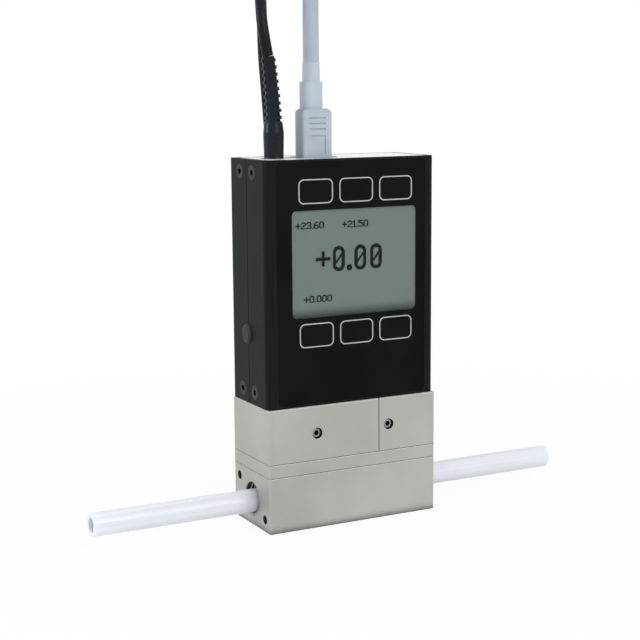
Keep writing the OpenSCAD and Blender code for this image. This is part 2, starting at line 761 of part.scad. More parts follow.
// Section of one shell, from the seam to its face, with the groove for the seam
module shell_section(reach, r) {
    difference() {
        half_outline(shell_w, reach, r);
        difference() {
            translate([0, cut]) half_outline(inner_w, reach - wall + cut, shell_inner_r);
            children();
        }
        for (x = [-1, 1]) translate([x * shell_w / 2, 0]) square(seam_groove, center = true);
    }
}

module side_plug_hole() {
    translate([-shell_w / 2 - cut, side_plug_y, housing_z + side_plug_z]) rotate([0, 90, 0])
        cylinder(d = side_plug_d - 1.6, h = wall + 2 * cut);
}

module front_shell() {
    color(black) difference() {
        translate([0, seam_y, housing_z]) linear_extrude(housing_h)
            shell_section(shell_front + seam_y, corner_r);
        translate([0, 0, overlay_z + overlay_h / 2]) upright(-shell_front - cut, overlay_sink + overlay_t + cut)
            round_rect(overlay_w, overlay_h, overlay_r);
        translate([panel_x, 0, window_mid]) upright(-shell_front, wall + cut)
            round_rect(window_w + 1.2, window_h + 1.2, window_r);
        for (i = key_xs, z = key_zs)
            translate([key_mid + i * key_pitch, -shell_front, housing_z + z]) rotate([-90, 0, 0])
                cylinder(d = key_hole_d, h = wall + cut);
        side_screw_holes(side_screw_d + 0.2);
        side_screw_sinks();
        side_plug_hole();
    }
}

module rear_shell() {
    color(black) difference() {
        translate([0, seam_y, housing_z]) linear_extrude(housing_h) mirror([0, 1])
                shell_section(shell_front - seam_y, rear_corner_r) {
            for (x = [-1, 1], y = [main_board_y - rib_gap - rib_t, main_board_y + board_t + rib_gap])
                translate([x * (inner_w / 2 - rib_reach / 2 + cut / 2), seam_y - y - rib_t / 2])
                    square([rib_reach + cut, rib_t], center = true);
        }
        translate([-inner_w / 2, 0, housing_z - cut])
            cube([inner_w, inner_back, bracket_flange_h + rib_start + cut]);
        translate([-inner_w / 2, 0, top_z - cap_flange_h - rib_end])
            cube([inner_w, inner_back, cap_flange_h + rib_end + cut]);
        side_screw_holes(side_screw_d + 0.2);
        side_screw_sinks();
        side_plug_hole();
    }
}

module top_cap() {
    depth = 2 * (shell_front - wall - cap_clearance);
    color("lightgray") difference() {
        union() {
            translate([0, 0, top_z - cap_t]) linear_extrude(cap_t) round_rect(flange_w, depth, inner_corner_r);
            for (x = [-1, 1])
                translate([x * (flange_w - flange_t) / 2, 0, top_z - cap_flange_h]) linear_extrude(cap_flange_h)
                    round_rect(flange_t, depth - 2, 0.9);
        }
        translate([data_x, data_y, top_z - cap_t - cut]) cylinder(d = data_opening_d, h = cap_t + 2 * cut);
        translate([power_x, 0, top_z - cap_t - cut]) cylinder(d = power_body_d + 1.6, h = cap_t + 2 * cut);
        side_screw_holes(side_screw_d);
    }
}

// Countersunk screws with a hex socket, flush with the housing's sides
module side_screws() {
    cone = (side_screw_head_d - side_screw_d) / 2;
    color(black) for (x = [0, 1], y = [-side_screw_front, side_screw_rear], z = [side_screw_low, side_screw_top])
        mirror([x, 0, 0]) translate([-shell_w / 2, y, z]) rotate([0, 90, 0]) difference() {
            rotate_extrude() polygon([
                [0, 0], [side_screw_head_d / 2, 0], [side_screw_d / 2, cone], [side_screw_d / 2, side_screw_l - 0.4],
                [side_screw_d / 2 - 0.4, side_screw_l], [0, side_screw_l]]);
            translate([0, 0, -cut]) cylinder(d = side_screw_socket, h = cone + cut, $fn = 6);
        }
}

module side_plug() {
    color(black) translate([-shell_w / 2, side_plug_y, housing_z + side_plug_z]) rotate([0, 90, 0]) rotate_extrude()
        polygon([
            [0, -0.8], [side_plug_d / 2 - 1, -0.8], [side_plug_d / 2 - 0.3, -0.5], [side_plug_d / 2, 0],
            [side_plug_d / 2 - 0.85, 0], [side_plug_d / 2 - 0.85, wall], [side_plug_d / 2 - 1.3, wall + 0.8],
            [0, wall + 0.8]]);
}

module keypad_overlay() {
    color(black) difference() {
        translate([0, 0, overlay_z + overlay_h / 2]) upright(overlay_face, overlay_t)
            round_rect(overlay_w - 0.1, overlay_h - 0.1, overlay_r);
        translate([panel_x, 0, window_mid]) upright(overlay_face - cut, overlay_t + 2 * cut)
            round_rect(window_w, window_h, window_r);
    }
}

module key_frames() {
    color("lightgray") for (i = key_xs, z = key_zs)
        translate([key_mid + i * key_pitch, 0, housing_z + z]) upright(overlay_face - key_print_t, key_print_t)
            difference() {
                round_rect(key_w, key_h, key_r);
                round_rect(key_w - 2 * key_line, key_h - 2 * key_line, key_r - key_line);
            }
}

module display_window() {
    color("aliceblue") translate([panel_x, 0, window_mid]) upright(overlay_face, overlay_t)
        round_rect(window_w, window_h, window_r);
}

module display_glass() {
    color([0.48, 0.53, 0.49]) translate([panel_x, 0, window_mid]) upright(glass_y, glass_t)
        round_rect(window_w + 0.8, window_h + 0.8, window_r);
}

module display_frame() {
    color("silver") difference() {
        translate([panel_x, 0, window_mid]) upright(display_frame_y, display_frame_t)
            round_rect(window_w + 4, window_h + 2, 0.8);
        translate([panel_x, 0, window_mid]) upright(display_frame_y - cut, glass_y + glass_t - display_frame_y + cut)
            round_rect(window_w + 1, window_h + 1, 0.6);
    }
}

module display_board() {
    color("darkgreen") translate([-display_board_w / 2, display_board_y, display_board_z])
        cube([display_board_w, board_t, display_board_h]);
}

module key_switches() {
    color("dimgray") for (i = key_xs, z = key_zs)
        translate([key_mid + i * key_pitch, 0, housing_z + z]) {
            translate([0, display_board_y - 2.6, 0]) upright(0, 2.6) square(switch_w, center = true);
            translate([0, overlay_back + 0.1, 0]) rotate([-90, 0, 0])
                cylinder(d = switch_button_d, h = display_board_y - 1 - overlay_back);
        }
}

module board_spacers() {
    color("silver") for (x = [-1, 1], z = spacer_zs)
        translate([x * spacer_x, display_board_y + board_t, z]) rotate([-90, 0, 0]) difference() {
            cylinder(d = spacer_d, h = spacer_l, $fn = 6);
            translate([0, 0, spacer_l - board_screw_grip - 2])
                cylinder(d = board_screw_d, h = board_screw_grip + 2 + cut);
        }
}

module board_screws() {
    color("silver") for (x = [-1, 1], z = spacer_zs)
        translate([x * spacer_x, main_board_y + board_t, z]) rotate([-90, 0, 0]) {
            translate([0, 0, -board_t - board_screw_grip])
                cylinder(d = board_screw_d, h = board_t + board_screw_grip + cut);
            cylinder(d = board_screw_head_d, h = board_screw_head_h);
        }
}

module main_board() {
    color("darkgreen") difference() {
        translate([-main_board_w / 2, main_board_y, main_board_z]) cube([main_board_w, board_t, main_board_h]);
        for (x = [-1, 1], z = spacer_zs)
            translate([x * spacer_x, main_board_y - cut, z]) rotate([-90, 0, 0])
                cylinder(d = board_screw_d + 0.4, h = board_t + 2 * cut);
    }
}

// Chips, capacitors and the ribbon header on the front of the main board
module board_components() {
    color("dimgray") {
        for (c = chips)
            translate([c[0], main_board_y - c[4], main_board_z + c[1]]) cube([c[2], c[4], c[3]]);
        for (x = capacitor_xs)
            translate([x, main_board_y, main_board_z + capacitor_z]) rotate([90, 0, 0])
                cylinder(d = capacitor_d, h = capacitor_h);
        translate([header_x, main_board_y - header_t, header_z]) cube([header_w, header_t, header_t]);
    }
}

module sensor_board() {
    x0 = difference_x - sensor_board_reach;
    color("darkgreen") difference() {
        translate([x0, -sensor_board_d / 2, sensor_board_z])
            cube([line_x + sensor_board_end - x0, sensor_board_d, board_t]);
        translate([probe_x, 0, sensor_board_z - cut]) cylinder(d = probe_head_d, h = board_t + 2 * cut);
    }
}

// Flat cable, folded up from the sensor board and back to the header on the main board
module sensor_ribbon() {
    t = 0.8;
    z0 = sensor_board_z + board_t;
    z1 = header_z + header_t / 2;
    y1 = main_board_y - header_t;
    color("gray") translate([header_x + 0.5, 0, 0]) rotate([90, 0, 90]) linear_extrude(header_w - 1) polygon([
        [-3, z0], [-3 + t, z0], [-3 + t, z1 - 2], [-1, z1 - t], [y1, z1 - t], [y1, z1], [-1.5, z1], [-3, z1 - 1.6]]);
}

module power_jack() {
    foot_z = top_z - cap_t;
    color("dimgray") difference() {
        union() {
            translate([power_x, 0, foot_z - 0.5]) cylinder(d = power_body_d + 1.2, h = cap_t + 0.5);
            translate([power_x - 2.8, -4.5, foot_z - 11]) cube([5.6, main_board_y + 4.5, 11 - 0.05]);
        }
        translate([power_x, 0, top_z - power_barrel_l]) cylinder(d = power_barrel_d, h = power_barrel_l + cut);
    }
}

module data_socket() {
    face_z = data_face_z - 0.1;
    color("dimgray") difference() {
        union() {
            translate([data_x, data_y, face_z - data_socket_l]) cylinder(d = data_socket_d, h = data_socket_l);
            translate([data_x - data_socket_d / 2, data_y, face_z - data_socket_l])
                cube([data_socket_d, main_board_y - data_y, data_socket_l - 5.9]);
        }
        translate([data_x, data_y, face_z - data_shell_l - 0.3]) difference() {
            cylinder(d = data_shell_d + 0.2, h = data_shell_l + 0.3 + cut);
            translate([0, 0, -cut])
                cylinder(d = data_shell_d - 2 * data_shell_t - 0.4, h = data_shell_l + 0.3 + cut - data_base_t - 0.1);
        }
        translate([data_x, data_y, face_z]) mirror([0, 0, 1]) translate([0, 0, -cut])
            data_pin_places() cylinder(d = pin_d + 0.3, h = data_shell_l + cut);
    }
}

// Where the eight pins of the data plug stand
module data_pin_places() {
    for (x = [-2.7, 0, 2.7]) translate([x, -1.8, 0]) children();
    for (x = [-2.9, -1, 1, 2.9]) translate([x, 0.5, 0]) children();
    translate([0, 2.6, 0]) children();
}

// A tube from its seat in the port to its free end
module tube(side) {
    translate([side * seat_end, 0, tube_z]) rotate([0, side * 90, 0]) difference() {
        cylinder(d = tube_d, h = tube_end - seat_end);
        translate([0, 0, -cut]) cylinder(d = tube_bore_d, h = tube_end - seat_end + 2 * cut);
    }
}

module inlet_tube() {
    color("lavender") tube(-1);
}

module outlet_tube() {
    color("lavender") tube(1);
}

// Lean of ring i of the strain relief, in degrees
function lean(i) = relief_lean_start + (relief_lean_end - relief_lean_start) * i / relief_rings;
// Middle of ring i, summed along the bend
function ring_at(i) = i <= 0
    ? [power_x, 0, relief_z + relief_pitch / 2]
    : ring_at(i - 1) + relief_pitch * [-sin(lean(i - 0.5)), 0, cos(lean(i - 0.5))];
function ring_d(i) = relief_start_d + (relief_end_d - relief_start_d) * i / (relief_rings - 1);

module power_plug() {
    body_r = power_body_d / 2;
    neck_r = relief_start_d / 2;
    relief_notch = 0.5;
    color(black) difference() {
        union() {
            translate([power_x, 0, top_z]) rotate_extrude() polygon([
                [0, 0], [body_r, 0], [power_body_max_d / 2, power_body_h * 0.55],
                [power_body_max_d / 2, power_body_h * 0.7], [neck_r + 0.2, power_body_h - 0.5],
                [neck_r - 0.1, power_body_h], [0, power_body_h]]);
            for (i = [0 : relief_rings - 1]) translate(ring_at(i)) rotate([0, -lean(i), 0]) {
                difference() {
                    translate([0, 0, -relief_ring_t / 2]) cylinder(d = ring_d(i), h = relief_ring_t);
                    for (a = [30, 150, 210, 330]) rotate([0, 0, a]) translate([ring_d(i) / 2, 0, 0])
                        cube([relief_notch, relief_notch * 2, relief_ring_t + cut], center = true);
                }
                translate([0, 0, -relief_pitch * 0.52 - 0.1])
                    cylinder(d = power_cord_d + 0.6 - i * 0.02, h = relief_pitch * 1.04 + 0.2);
                for (a = [62, 118, 242, 298]) rotate([0, 0, a])
                    translate([power_cord_d / 2, -0.4, -relief_pitch / 2 - 0.1])
                        cube([(ring_d(i) - power_cord_d) / 2 - 0.3, 0.8, relief_pitch + 0.2]);
            }
        }
        translate([power_x, 0, top_z - cut]) cylinder(d = power_barrel_d * 0.6, h = 4 + cut);
    }
}

module power_barrel() {
    color("silver") translate([power_x, 0, top_z - power_barrel_l + 0.1]) difference() {
        union() {
            cylinder(d = power_barrel_d - 0.1, h = power_barrel_l - 0.1);
            cylinder(d = power_barrel_d * 0.55, h = power_barrel_l + 3);
        }
        translate([0, 0, -cut]) cylinder(d = power_barrel_d * 0.4, h = power_barrel_l - 1);
    }
}

// Outline of the data plug's body: round at the back, flat at the front
module data_outline(d) {
    r = data_back_r - d;
    front = data_front - d;
    difference() {
        union() {
            circle(r);
            translate([-r, -front + data_corner_r]) square([2 * r, front - data_corner_r]);
            translate([-r + data_corner_r, -front]) square([2 * (r - data_corner_r), front]);
            for (x = [-1, 1]) translate([x * (r - data_corner_r), -front + data_corner_r]) circle(data_corner_r);
        }
        translate([-r, -front - r]) square([2 * r, r]);
    }
}

// The moulded plug: body, stepped shoulder, neck and taper, with the grip marks in its flat front
module data_plug_body() {
    body_l = data_body_h + data_body_sink;
    steps = 4;
    round_h = 1.2;
    grip_x = 3;
    grip_w = 5.7;
    grip_pitch = 1.7;
    line_w = 0.45;
    line_t = 0.35;
    pad_h = 5.7;
    pad_z = body_l - 8.2 - pad_h;
    difference() {
        union() {
            linear_extrude(body_l - round_h) data_outline(0);
            for (i = [0 : steps - 1])
                translate([0, 0, body_l - round_h + i * round_h / steps]) linear_extrude(round_h / steps)
                    data_outline(round_h * (1 - cos(90 * (i + 0.7) / steps)) * 0.8);
            translate([0, 0.2, body_l]) linear_extrude(data_neck_l)
                round_rect(data_neck_w, data_neck_d, data_neck_d / 2 - 0.3);
            translate([0, 0, body_l + data_neck_l])
                cylinder(d1 = data_neck_d, d2 = data_cord_d + 0.4, h = data_taper_l);
        }
        for (i = [0 : 2])
            translate([-grip_x, -data_front - cut, body_l - 3.1 - grip_pitch * i])
                cube([grip_w, line_t + cut, line_w]);
        translate([line_w - grip_x, -data_front - cut, pad_z]) {
            cube([grip_w - 2 * line_w, line_t / 2 + cut, pad_h]);
            translate([0, 0, pad_h - line_w]) cube([grip_w - line_w, line_t + cut, line_w]);
            translate([grip_w - 2 * line_w, 0, 0]) cube([line_w, line_t + cut, pad_h]);
        }
    }
}

module data_shell() {
    mirror([0, 0, 1]) difference() {
        cylinder(d = data_shell_d, h = data_shell_l);
        translate([0, 0, -cut]) cylinder(d = data_shell_d - 2 * data_shell_t, h = data_shell_l + 2 * cut);
        translate([-1.1, -data_shell_d / 2 - cut, 1]) cube([2.2, 1.2, data_shell_l]);
    }
}

module data_pins() {
    data_pin_places() mirror([0, 0, 1]) cylinder(d = pin_d, h = data_shell_l - 1);
    mirror([0, 0, 1]) cylinder(d = data_shell_d - 2 * data_shell_t, h = data_base_t);
}

module at_data_socket() {
    translate([data_x, data_y, data_face_z]) children();
}

// The far plug lies with its flat front down, pointing away from the coil
module at_far_plug() {
    length = data_body_h + data_body_sink + data_neck_l + data_taper_l;
    translate(data_far) rotate([0, 0, data_far_turn]) rotate([90, 0, 0]) translate([0, 0, -length])
        children();
}

module data_plug() {
    color("lightsteelblue") at_data_socket() data_plug_body();
}

module data_plug_shell() {
    color("silver") at_data_socket() data_shell();
}

module data_plug_pins() {
    color("gold") at_data_socket() data_pins();
}

module data_far_plug() {
    color("lightsteelblue") at_far_plug() data_plug_body();
}

module data_far_shell() {
    color("silver") at_far_plug() data_shell();
}

module data_far_pins() {
    color("gold") at_far_plug() data_pins();
}

function unit(v) = v / norm(v);
// Direction of a route at its point i
function heading(route, i) =
    unit(route[min(i + 1, len(route) - 1)] - route[max(i - 1, 0)]);
// Side directions of each ring, carried along the route so that the tube doesn't twist
function sides(route, i = 0, last = [1, 0, 0]) = i >= len(route) ? [] :
    let (t = heading(route, i), s = unit(last - (last * t) * t))
    concat([s], sides(route, i + 1, s));

// A tube of diameter d swept along a route as one closed solid
module swept(route, d, n) {
    side = sides(route);
    rings = len(route);
    points = [for (i = [0 : rings - 1], k = [0 : n - 1])
        route[i] + d / 2 * (cos(360 * k / n) * side[i] + sin(360 * k / n) * cross(heading(route, i), side[i]))];
    walls = [for (i = [0 : rings - 2], k = [0 : n - 1])
        [i * n + k, (i + 1) * n + k, (i + 1) * n + (k + 1) % n, i * n + (k + 1) % n]];
    polyhedron(points,
        concat([[for (k = [0 : n - 1]) k]], walls, [[for (k = [n - 1 : -1 : 0]) (rings - 1) * n + k]]));
}

// The outer shape of a round coil that lies flat at height z
module coil(r, d, columns, layers, z) {
    translate([coil_x, coil_y, z]) rotate_extrude() translate([r - columns * d / 2, 0])
        square([columns * d, layers * d]);
}

module power_cord() {
    color(black) swept(power_route, power_cord_d, 8);
}

module power_coil() {
    color(black)
        coil(power_coil_r, power_cord_d, power_coil_columns, power_coil_layers, data_coil_layers * data_cord_d);
}

module power_tail() {
    color(black) swept(power_tail_route, power_cord_d, 8);
}

module power_cores() {
    last = len(power_tail_route) - 1;
    way = heading(power_tail_route, last);
    for (s = [-1, 1]) color(s > 0 ? "white" : "red")
        translate(power_tail_route[last]) rotate([0, 0, atan2(-way[0], way[1])]) translate([s * 0.75, 0, 0])
            rotate([-90, 0, 0]) {
            cylinder(d = core_d, h = core_l);
            cylinder(d = core_d - 0.5, h = core_l + strip_l);
        }
}

module data_cord() {
    color("lightsteelblue") swept(data_route, data_cord_d, 10);
}

module data_coil() {
    color("lightsteelblue") coil(data_coil_r, data_cord_d, data_coil_columns, data_coil_layers, 0);
}

module data_tail() {
    color("lightsteelblue") swept(data_tail_route, data_cord_d, 10);
}

flow_body();
laminar_element();
chamber_gasket();
cover_plate();
tap_seals();
sensor_block();
pressure_block();
bleed_screws();
block_screws();
difference_sensor();
line_sensor();
temperature_probe();
tube_seals();
base_bracket();
bracket_screws();
front_shell();
rear_shell();
top_cap();
side_screws();
side_plug();
keypad_overlay();
key_frames();
display_window();
display_glass();
display_frame();
display_board();
key_switches();
board_spacers();
board_screws();
main_board();
board_components();
sensor_board();
sensor_ribbon();
power_jack();
data_socket();
inlet_tube();
outlet_tube();
power_plug();
power_barrel();
power_cord();
power_coil();
power_tail();
power_cores();
data_plug();
data_plug_shell();
data_plug_pins();
data_cord();
data_coil();
data_tail();
data_far_plug();
data_far_shell();
data_far_pins();
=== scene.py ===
import bpy, math
from mathutils import Matrix, Vector


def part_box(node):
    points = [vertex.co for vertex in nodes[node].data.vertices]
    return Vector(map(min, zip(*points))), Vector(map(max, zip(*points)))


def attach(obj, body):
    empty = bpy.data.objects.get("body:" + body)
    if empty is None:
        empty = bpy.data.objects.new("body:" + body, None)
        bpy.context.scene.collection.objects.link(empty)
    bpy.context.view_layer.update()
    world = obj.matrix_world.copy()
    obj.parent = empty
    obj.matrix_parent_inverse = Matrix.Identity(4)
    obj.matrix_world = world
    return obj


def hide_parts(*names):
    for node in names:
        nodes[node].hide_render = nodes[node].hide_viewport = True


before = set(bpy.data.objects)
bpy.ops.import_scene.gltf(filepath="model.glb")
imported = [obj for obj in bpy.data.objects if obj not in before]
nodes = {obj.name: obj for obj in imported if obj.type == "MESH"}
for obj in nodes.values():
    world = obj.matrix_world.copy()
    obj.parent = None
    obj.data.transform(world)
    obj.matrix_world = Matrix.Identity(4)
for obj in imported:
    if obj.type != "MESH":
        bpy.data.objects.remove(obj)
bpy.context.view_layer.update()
mm = 0.001

# The camera stands a forearm's length from the meter, to the left of its front and a little above it.
# It has a long lens, and it is turned by half a degree, as a camera held by hand is.
camera_place = (-0.215002, -0.403865, 0.139845)
turn, tilt, lean = math.radians(27.459), math.radians(9.356), math.radians(-0.436)
camera_data = bpy.data.cameras.new("camera")
camera_data.sensor_width = 36
camera_data.lens = 80.027
camera_data.clip_start = 0.01
camera_data.clip_end = 20
camera = bpy.data.objects.new("camera", camera_data)
bpy.context.scene.collection.objects.link(camera)
bpy.context.scene.camera = camera
ahead = Vector((math.sin(turn) * math.cos(tilt), math.cos(turn) * math.cos(tilt), -math.sin(tilt)))
level = ahead.cross(Vector((0, 0, 1))).normalized()
upward = level.cross(ahead)
right = level * math.cos(lean) + upward * math.sin(lean)
up = upward * math.cos(lean) - level * math.sin(lean)
facing = Matrix((right, up, -ahead)).transposed().to_4x4()
camera.matrix_world = Matrix.Translation(camera_place) @ facing
bpy.context.scene.view_settings.view_transform = "Standard"

# The room is a soft white tent: a pale world, a smaller lamp on the meter's left, and broad ones in front
# and above.
# What the camera sees straight, in a reflection or through a clear part, is plain white.
tent_colour = (0.96, 0.98, 1.0, 1)
tent_strength = 0.62
plain_white = (1, 1, 1, 1)
meter_middle = Vector((0, 0, 0.06))


def node(tree, kind, **values):
    """Adds a shader node. Names in small letters are its settings, and those with a capital its inputs."""
    made = tree.nodes.new("ShaderNode" + kind)
    for label, value in values.items():
        if label[0].islower():
            setattr(made, label, value)
        else:
            made.inputs[label.replace("_", " ")].default_value = value
    return made


def seen_rays(tree):
    """1 on rays that the camera sees straight, in a reflection or through a clear part, and 0 on others."""
    path = node(tree, "LightPath")
    seen = path.outputs["Is Camera Ray"]
    for ray in ("Is Glossy Ray", "Is Transmission Ray"):
        either = node(tree, "Math", operation="MAXIMUM")
        tree.links.new(seen, either.inputs[0])
        tree.links.new(path.outputs[ray], either.inputs[1])
        seen = either.outputs[0]
    return seen


world = bpy.data.worlds.new("tent")
bpy.context.scene.world = world
world.use_nodes = True
tree = world.node_tree
tree.nodes.clear()
output = node(tree, "OutputWorld")
light = node(tree, "Background", Color=tent_colour, Strength=tent_strength)
white = node(tree, "Background", Color=plain_white, Strength=1.0)
choose = node(tree, "MixShader")
tree.links.new(seen_rays(tree), choose.inputs[0])
tree.links.new(light.outputs[0], choose.inputs[1])
tree.links.new(white.outputs[0], choose.inputs[2])
tree.links.new(choose.outputs[0], output.inputs[0])


def soft_lamp(name, place, size, power):
    """A broad lamp that shines at the meter."""
    data = bpy.data.lights.new(name, "AREA")
    data.shape = "RECTANGLE"
    data.size, data.size_y = size
    data.energy = power
    lamp = bpy.data.objects.new(name, data)
    lamp.location = place
    lamp.rotation_mode = "QUATERNION"
    lamp.rotation_quaternion = (meter_middle - Vector(place)).to_track_quat("-Z", "Y")
    bpy.context.scene.collection.objects.link(lamp)


soft_lamp("left_lamp", place=(-1.0, 0.30, 0.45), size=(0.45, 0.45), power=4.6)
soft_lamp("front_lamp", place=(0.25, -1.10, 0.70), size=(0.8, 0.6), power=6.6)
soft_lamp("top_lamp", place=(0.1, 0.25, 1.10), size=(1.0, 1.0), power=1.6)

# The floor is a pale matt sheet, much wider than the picture.
# It keeps the meter's soft shadow, and its own colour runs out into the white behind.
floor_side = 6
floor_gap = 0.2 * mm
floor_grey = (0.86, 0.86, 0.86, 1)
shadow_reach, white_reach = 0.10, 0.40
white_near = 0.93


def deselect():
    """Leaves edit mode with nothing selected."""
    if bpy.context.mode != "OBJECT":
        bpy.ops.object.mode_set(mode="OBJECT")
    bpy.ops.object.select_all(action="DESELECT")


def settle(piece, name):
    """Names the piece and puts its place into its mesh."""
    deselect()
    piece.select_set(True)
    bpy.context.view_layer.objects.active = piece
    bpy.ops.object.transform_apply(location=True, rotation=True, scale=True)
    piece.name = piece.data.name = name
    piece.select_set(False)
    return piece


deselect()
bpy.ops.mesh.primitive_plane_add(size=floor_side, location=(0, 0, -floor_gap))
floor = settle(bpy.context.active_object, "floor")
sheet = bpy.data.materials.new("pale_floor")
sheet.use_nodes = True
tree = sheet.node_tree
tree.nodes.clear()
output = node(tree, "OutputMaterial")
matt = node(tree, "BsdfDiffuse", Color=floor_grey)
bright = node(tree, "Emission", Color=plain_white)
where = node(tree, "TexCoord")
reach = node(tree, "VectorMath", operation="LENGTH")
fade = node(tree, "MapRange", interpolation_type="SMOOTHSTEP", From_Min=shadow_reach, From_Max=white_reach,
            To_Min=white_near, To_Max=1.0)
share = node(tree, "Math", operation="MULTIPLY")
blend = node(tree, "MixShader")
tree.links.new(where.outputs["Object"], reach.inputs[0])
tree.links.new(reach.outputs["Value"], fade.inputs["Value"])
tree.links.new(seen_rays(tree), share.inputs[0])
tree.links.new(fade.outputs["Result"], share.inputs[1])
tree.links.new(share.outputs[0], blend.inputs[0])
tree.links.new(matt.outputs[0], blend.inputs[1])
tree.links.new(bright.outputs[0], blend.inputs[2])
tree.links.new(blend.outputs[0], output.inputs[0])
floor.data.materials.append(sheet)

# Power lead: a thin two-core lead with a black vinyl jacket, 1.5 m long. It leaves the plug's strain relief,
# arches over behind the housing, and lies in nine and a quarter turns on top of the other lead's coil.
# Its route is in millimetres: a free stretch, the turns, and a tail that lies on them.
power_d = 3.5
power_turns = 9.25
coil_middle = (28, 49)
knots_a_turn = 16
run_in = 0.17
move_over = 0.14
power_route = [
    (-22.61, 0, 148.97), (-23.5, 0.1, 154), (-24, 0.8, 159), (-23.6, 2.5, 164), (-21.9, 6.5, 168.5),
    (-18.5, 13.5, 170.5), (-15, 20.5, 168.5), (-12.8, 24.8, 164), (-11.8, 26.7, 158),
    (-11.2, 27.4, 149), (-10.1, 28, 138), (-8.9, 28.7, 126), (-7.7, 29.4, 114), (-6.5, 30.1, 102),
    (-5.3, 30.8, 90), (-4.1, 31.5, 78), (-2.9, 32.2, 66), (-1.8, 32.8, 55), (-0.9, 33.5, 46),
    (-0.3, 35, 37), (-0.1, 38.3, 29.5), (-0.1, 43.3, 24), (-0.1, 49, 21.85)]
power_tail = [
    (28, 66.5, 32.3), (34.4, 65.5, 32.3), (40.2, 62, 32.3), (44.2, 57.4, 32.3), (46.8, 51.5, 32.3),
    (47.3, 45.5, 32.3), (45.8, 39.5, 32.3)]


def rgb(r, g, b):
    """A colour written as 0 to 255, as the shader's linear values."""
    parts = [v / 255 for v in (r, g, b)]
    return tuple(v / 12.92 if v <= 0.04045 else ((v + 0.055) / 1.055) ** 2.4 for v in parts) + (1,)


def effect(name, inputs, outputs):
    """An empty shader group with named sockets."""
    group = bpy.data.node_groups.new(name, "ShaderNodeTree")
    for label, value in inputs:
        socket = group.interface.new_socket(label, in_out="INPUT", socket_type="NodeSocketFloat")
        socket.default_value = value
    for label in outputs:
        kind = "NodeSocketVector" if label == "Normal" else "NodeSocketFloat"
        group.interface.new_socket(label, in_out="OUTPUT", socket_type=kind)
    return group, group.nodes.new("NodeGroupInput"), group.nodes.new("NodeGroupOutput")


def noise(tree, vector, scale, detail=2):
    """A noise pattern's mask."""
    pattern = node(tree, "TexNoise", Scale=scale, Detail=detail)
    tree.links.new(vector, pattern.inputs["Vector"])
    return pattern.outputs["Fac"]


# moulded grain: fine pits over slow swells, as spark-eroded tools leave on vinyl and nylon
grain_group, source, sink = effect("moulded_grain", [("Size", 900), ("Depth", 0.1)],
                                   ["Normal", "Cloud", "Pits"])
where = node(grain_group, "TexCoord").outputs["Object"]
pits = node(grain_group, "TexNoise", Detail=3, Roughness=0.65)
bump = node(grain_group, "Bump", Distance=0.0001)
link = grain_group.links.new
link(where, pits.inputs["Vector"])
link(source.outputs["Size"], pits.inputs["Scale"])
link(source.outputs["Depth"], bump.inputs["Strength"])
link(pits.outputs["Fac"], bump.inputs["Height"])
link(bump.outputs["Normal"], sink.inputs["Normal"])
link(noise(grain_group, where, 55), sink.inputs["Cloud"])
link(pits.outputs["Fac"], sink.inputs["Pits"])


def finish_of(name, **sockets):
    """A new material with a Principled shader and its fixed values."""
    material = bpy.data.materials.new(name)
    material.use_nodes = True
    shader = material.node_tree.nodes["Principled BSDF"]
    for label, value in sockets.items():
        shader.inputs[label.replace("_", " ")].default_value = value
    return material, material.node_tree, shader


def two_tone(tree, shader, mask, dark, pale, socket="Base Color", low=0.35, high=0.65):
    """Runs a socket from one value to another as a mask goes from low to high."""
    ramp = node(tree, "MapRange", From_Min=low, From_Max=high)
    tree.links.new(mask, ramp.inputs["Value"])
    if socket == "Base Color":
        mix = node(tree, "Mix", data_type="RGBA", A=dark, B=pale)
        tree.links.new(ramp.outputs["Result"], mix.inputs["Factor"])
        tree.links.new(mix.outputs["Result"], shader.inputs[socket])
        return mix.outputs["Result"]
    ramp.inputs["To Min"].default_value = dark
    ramp.inputs["To Max"].default_value = pale
    tree.links.new(ramp.outputs["Result"], shader.inputs[socket])
    return ramp.outputs["Result"]


def moulded(name, dark, pale, rough, size, depth, **sockets):
    """Vinyl, nylon or rubber out of a grained mould."""
    material, tree, shader = finish_of(name, **sockets)
    grain = node(tree, "Group", node_tree=grain_group, Size=size, Depth=depth)
    two_tone(tree, shader, grain.outputs["Cloud"], dark, pale)
    two_tone(tree, shader, grain.outputs["Pits"], rough - 0.05, rough + 0.07, "Roughness")
    tree.links.new(grain.outputs["Normal"], shader.inputs["Normal"])
    return material


def smooth(x):
    """Eases from 0 to 1."""
    x = min(1, max(0, x))
    return x * x * (3 - 2 * x)


def layers(radii, heights):
    """A coil's slots, each (radius, height), layer by layer, with every other layer running back."""
    return [(r, z) for i, z in enumerate(heights) for r in (radii[::-1] if i % 2 else radii)]


def wound(start, way, slots, turns, entry, climbs=()):
    """Points of a coil that begins at the angle start. The first turn runs in from entry, a (radius, height),
    and each turn moves over to the next slot near its end. climbs are (start, end, rise)."""
    points = []
    for i in range(1, round(turns * knots_a_turn) + 1):
        t = min(i / knots_a_turn, turns)
        k = min(int(t), len(slots) - 1)
        r, z = slots[k]
        if k + 1 < len(slots):
            s = smooth((t - k - (1 - move_over)) / move_over)
            r += (slots[k + 1][0] - r) * s
            z += (slots[k + 1][1] - z) * s
        if t < run_in:
            s = smooth(t / run_in)
            r, z = entry[0] + (r - entry[0]) * s, entry[1] + (z - entry[1]) * s
        for begin, end, rise in climbs:
            z += rise * smooth((t - begin) / (end - begin))
        a = math.radians(start + way * 360 * t)
        points.append((coil_middle[0] + r * math.cos(a), coil_middle[1] + r * math.sin(a), z))
    return points


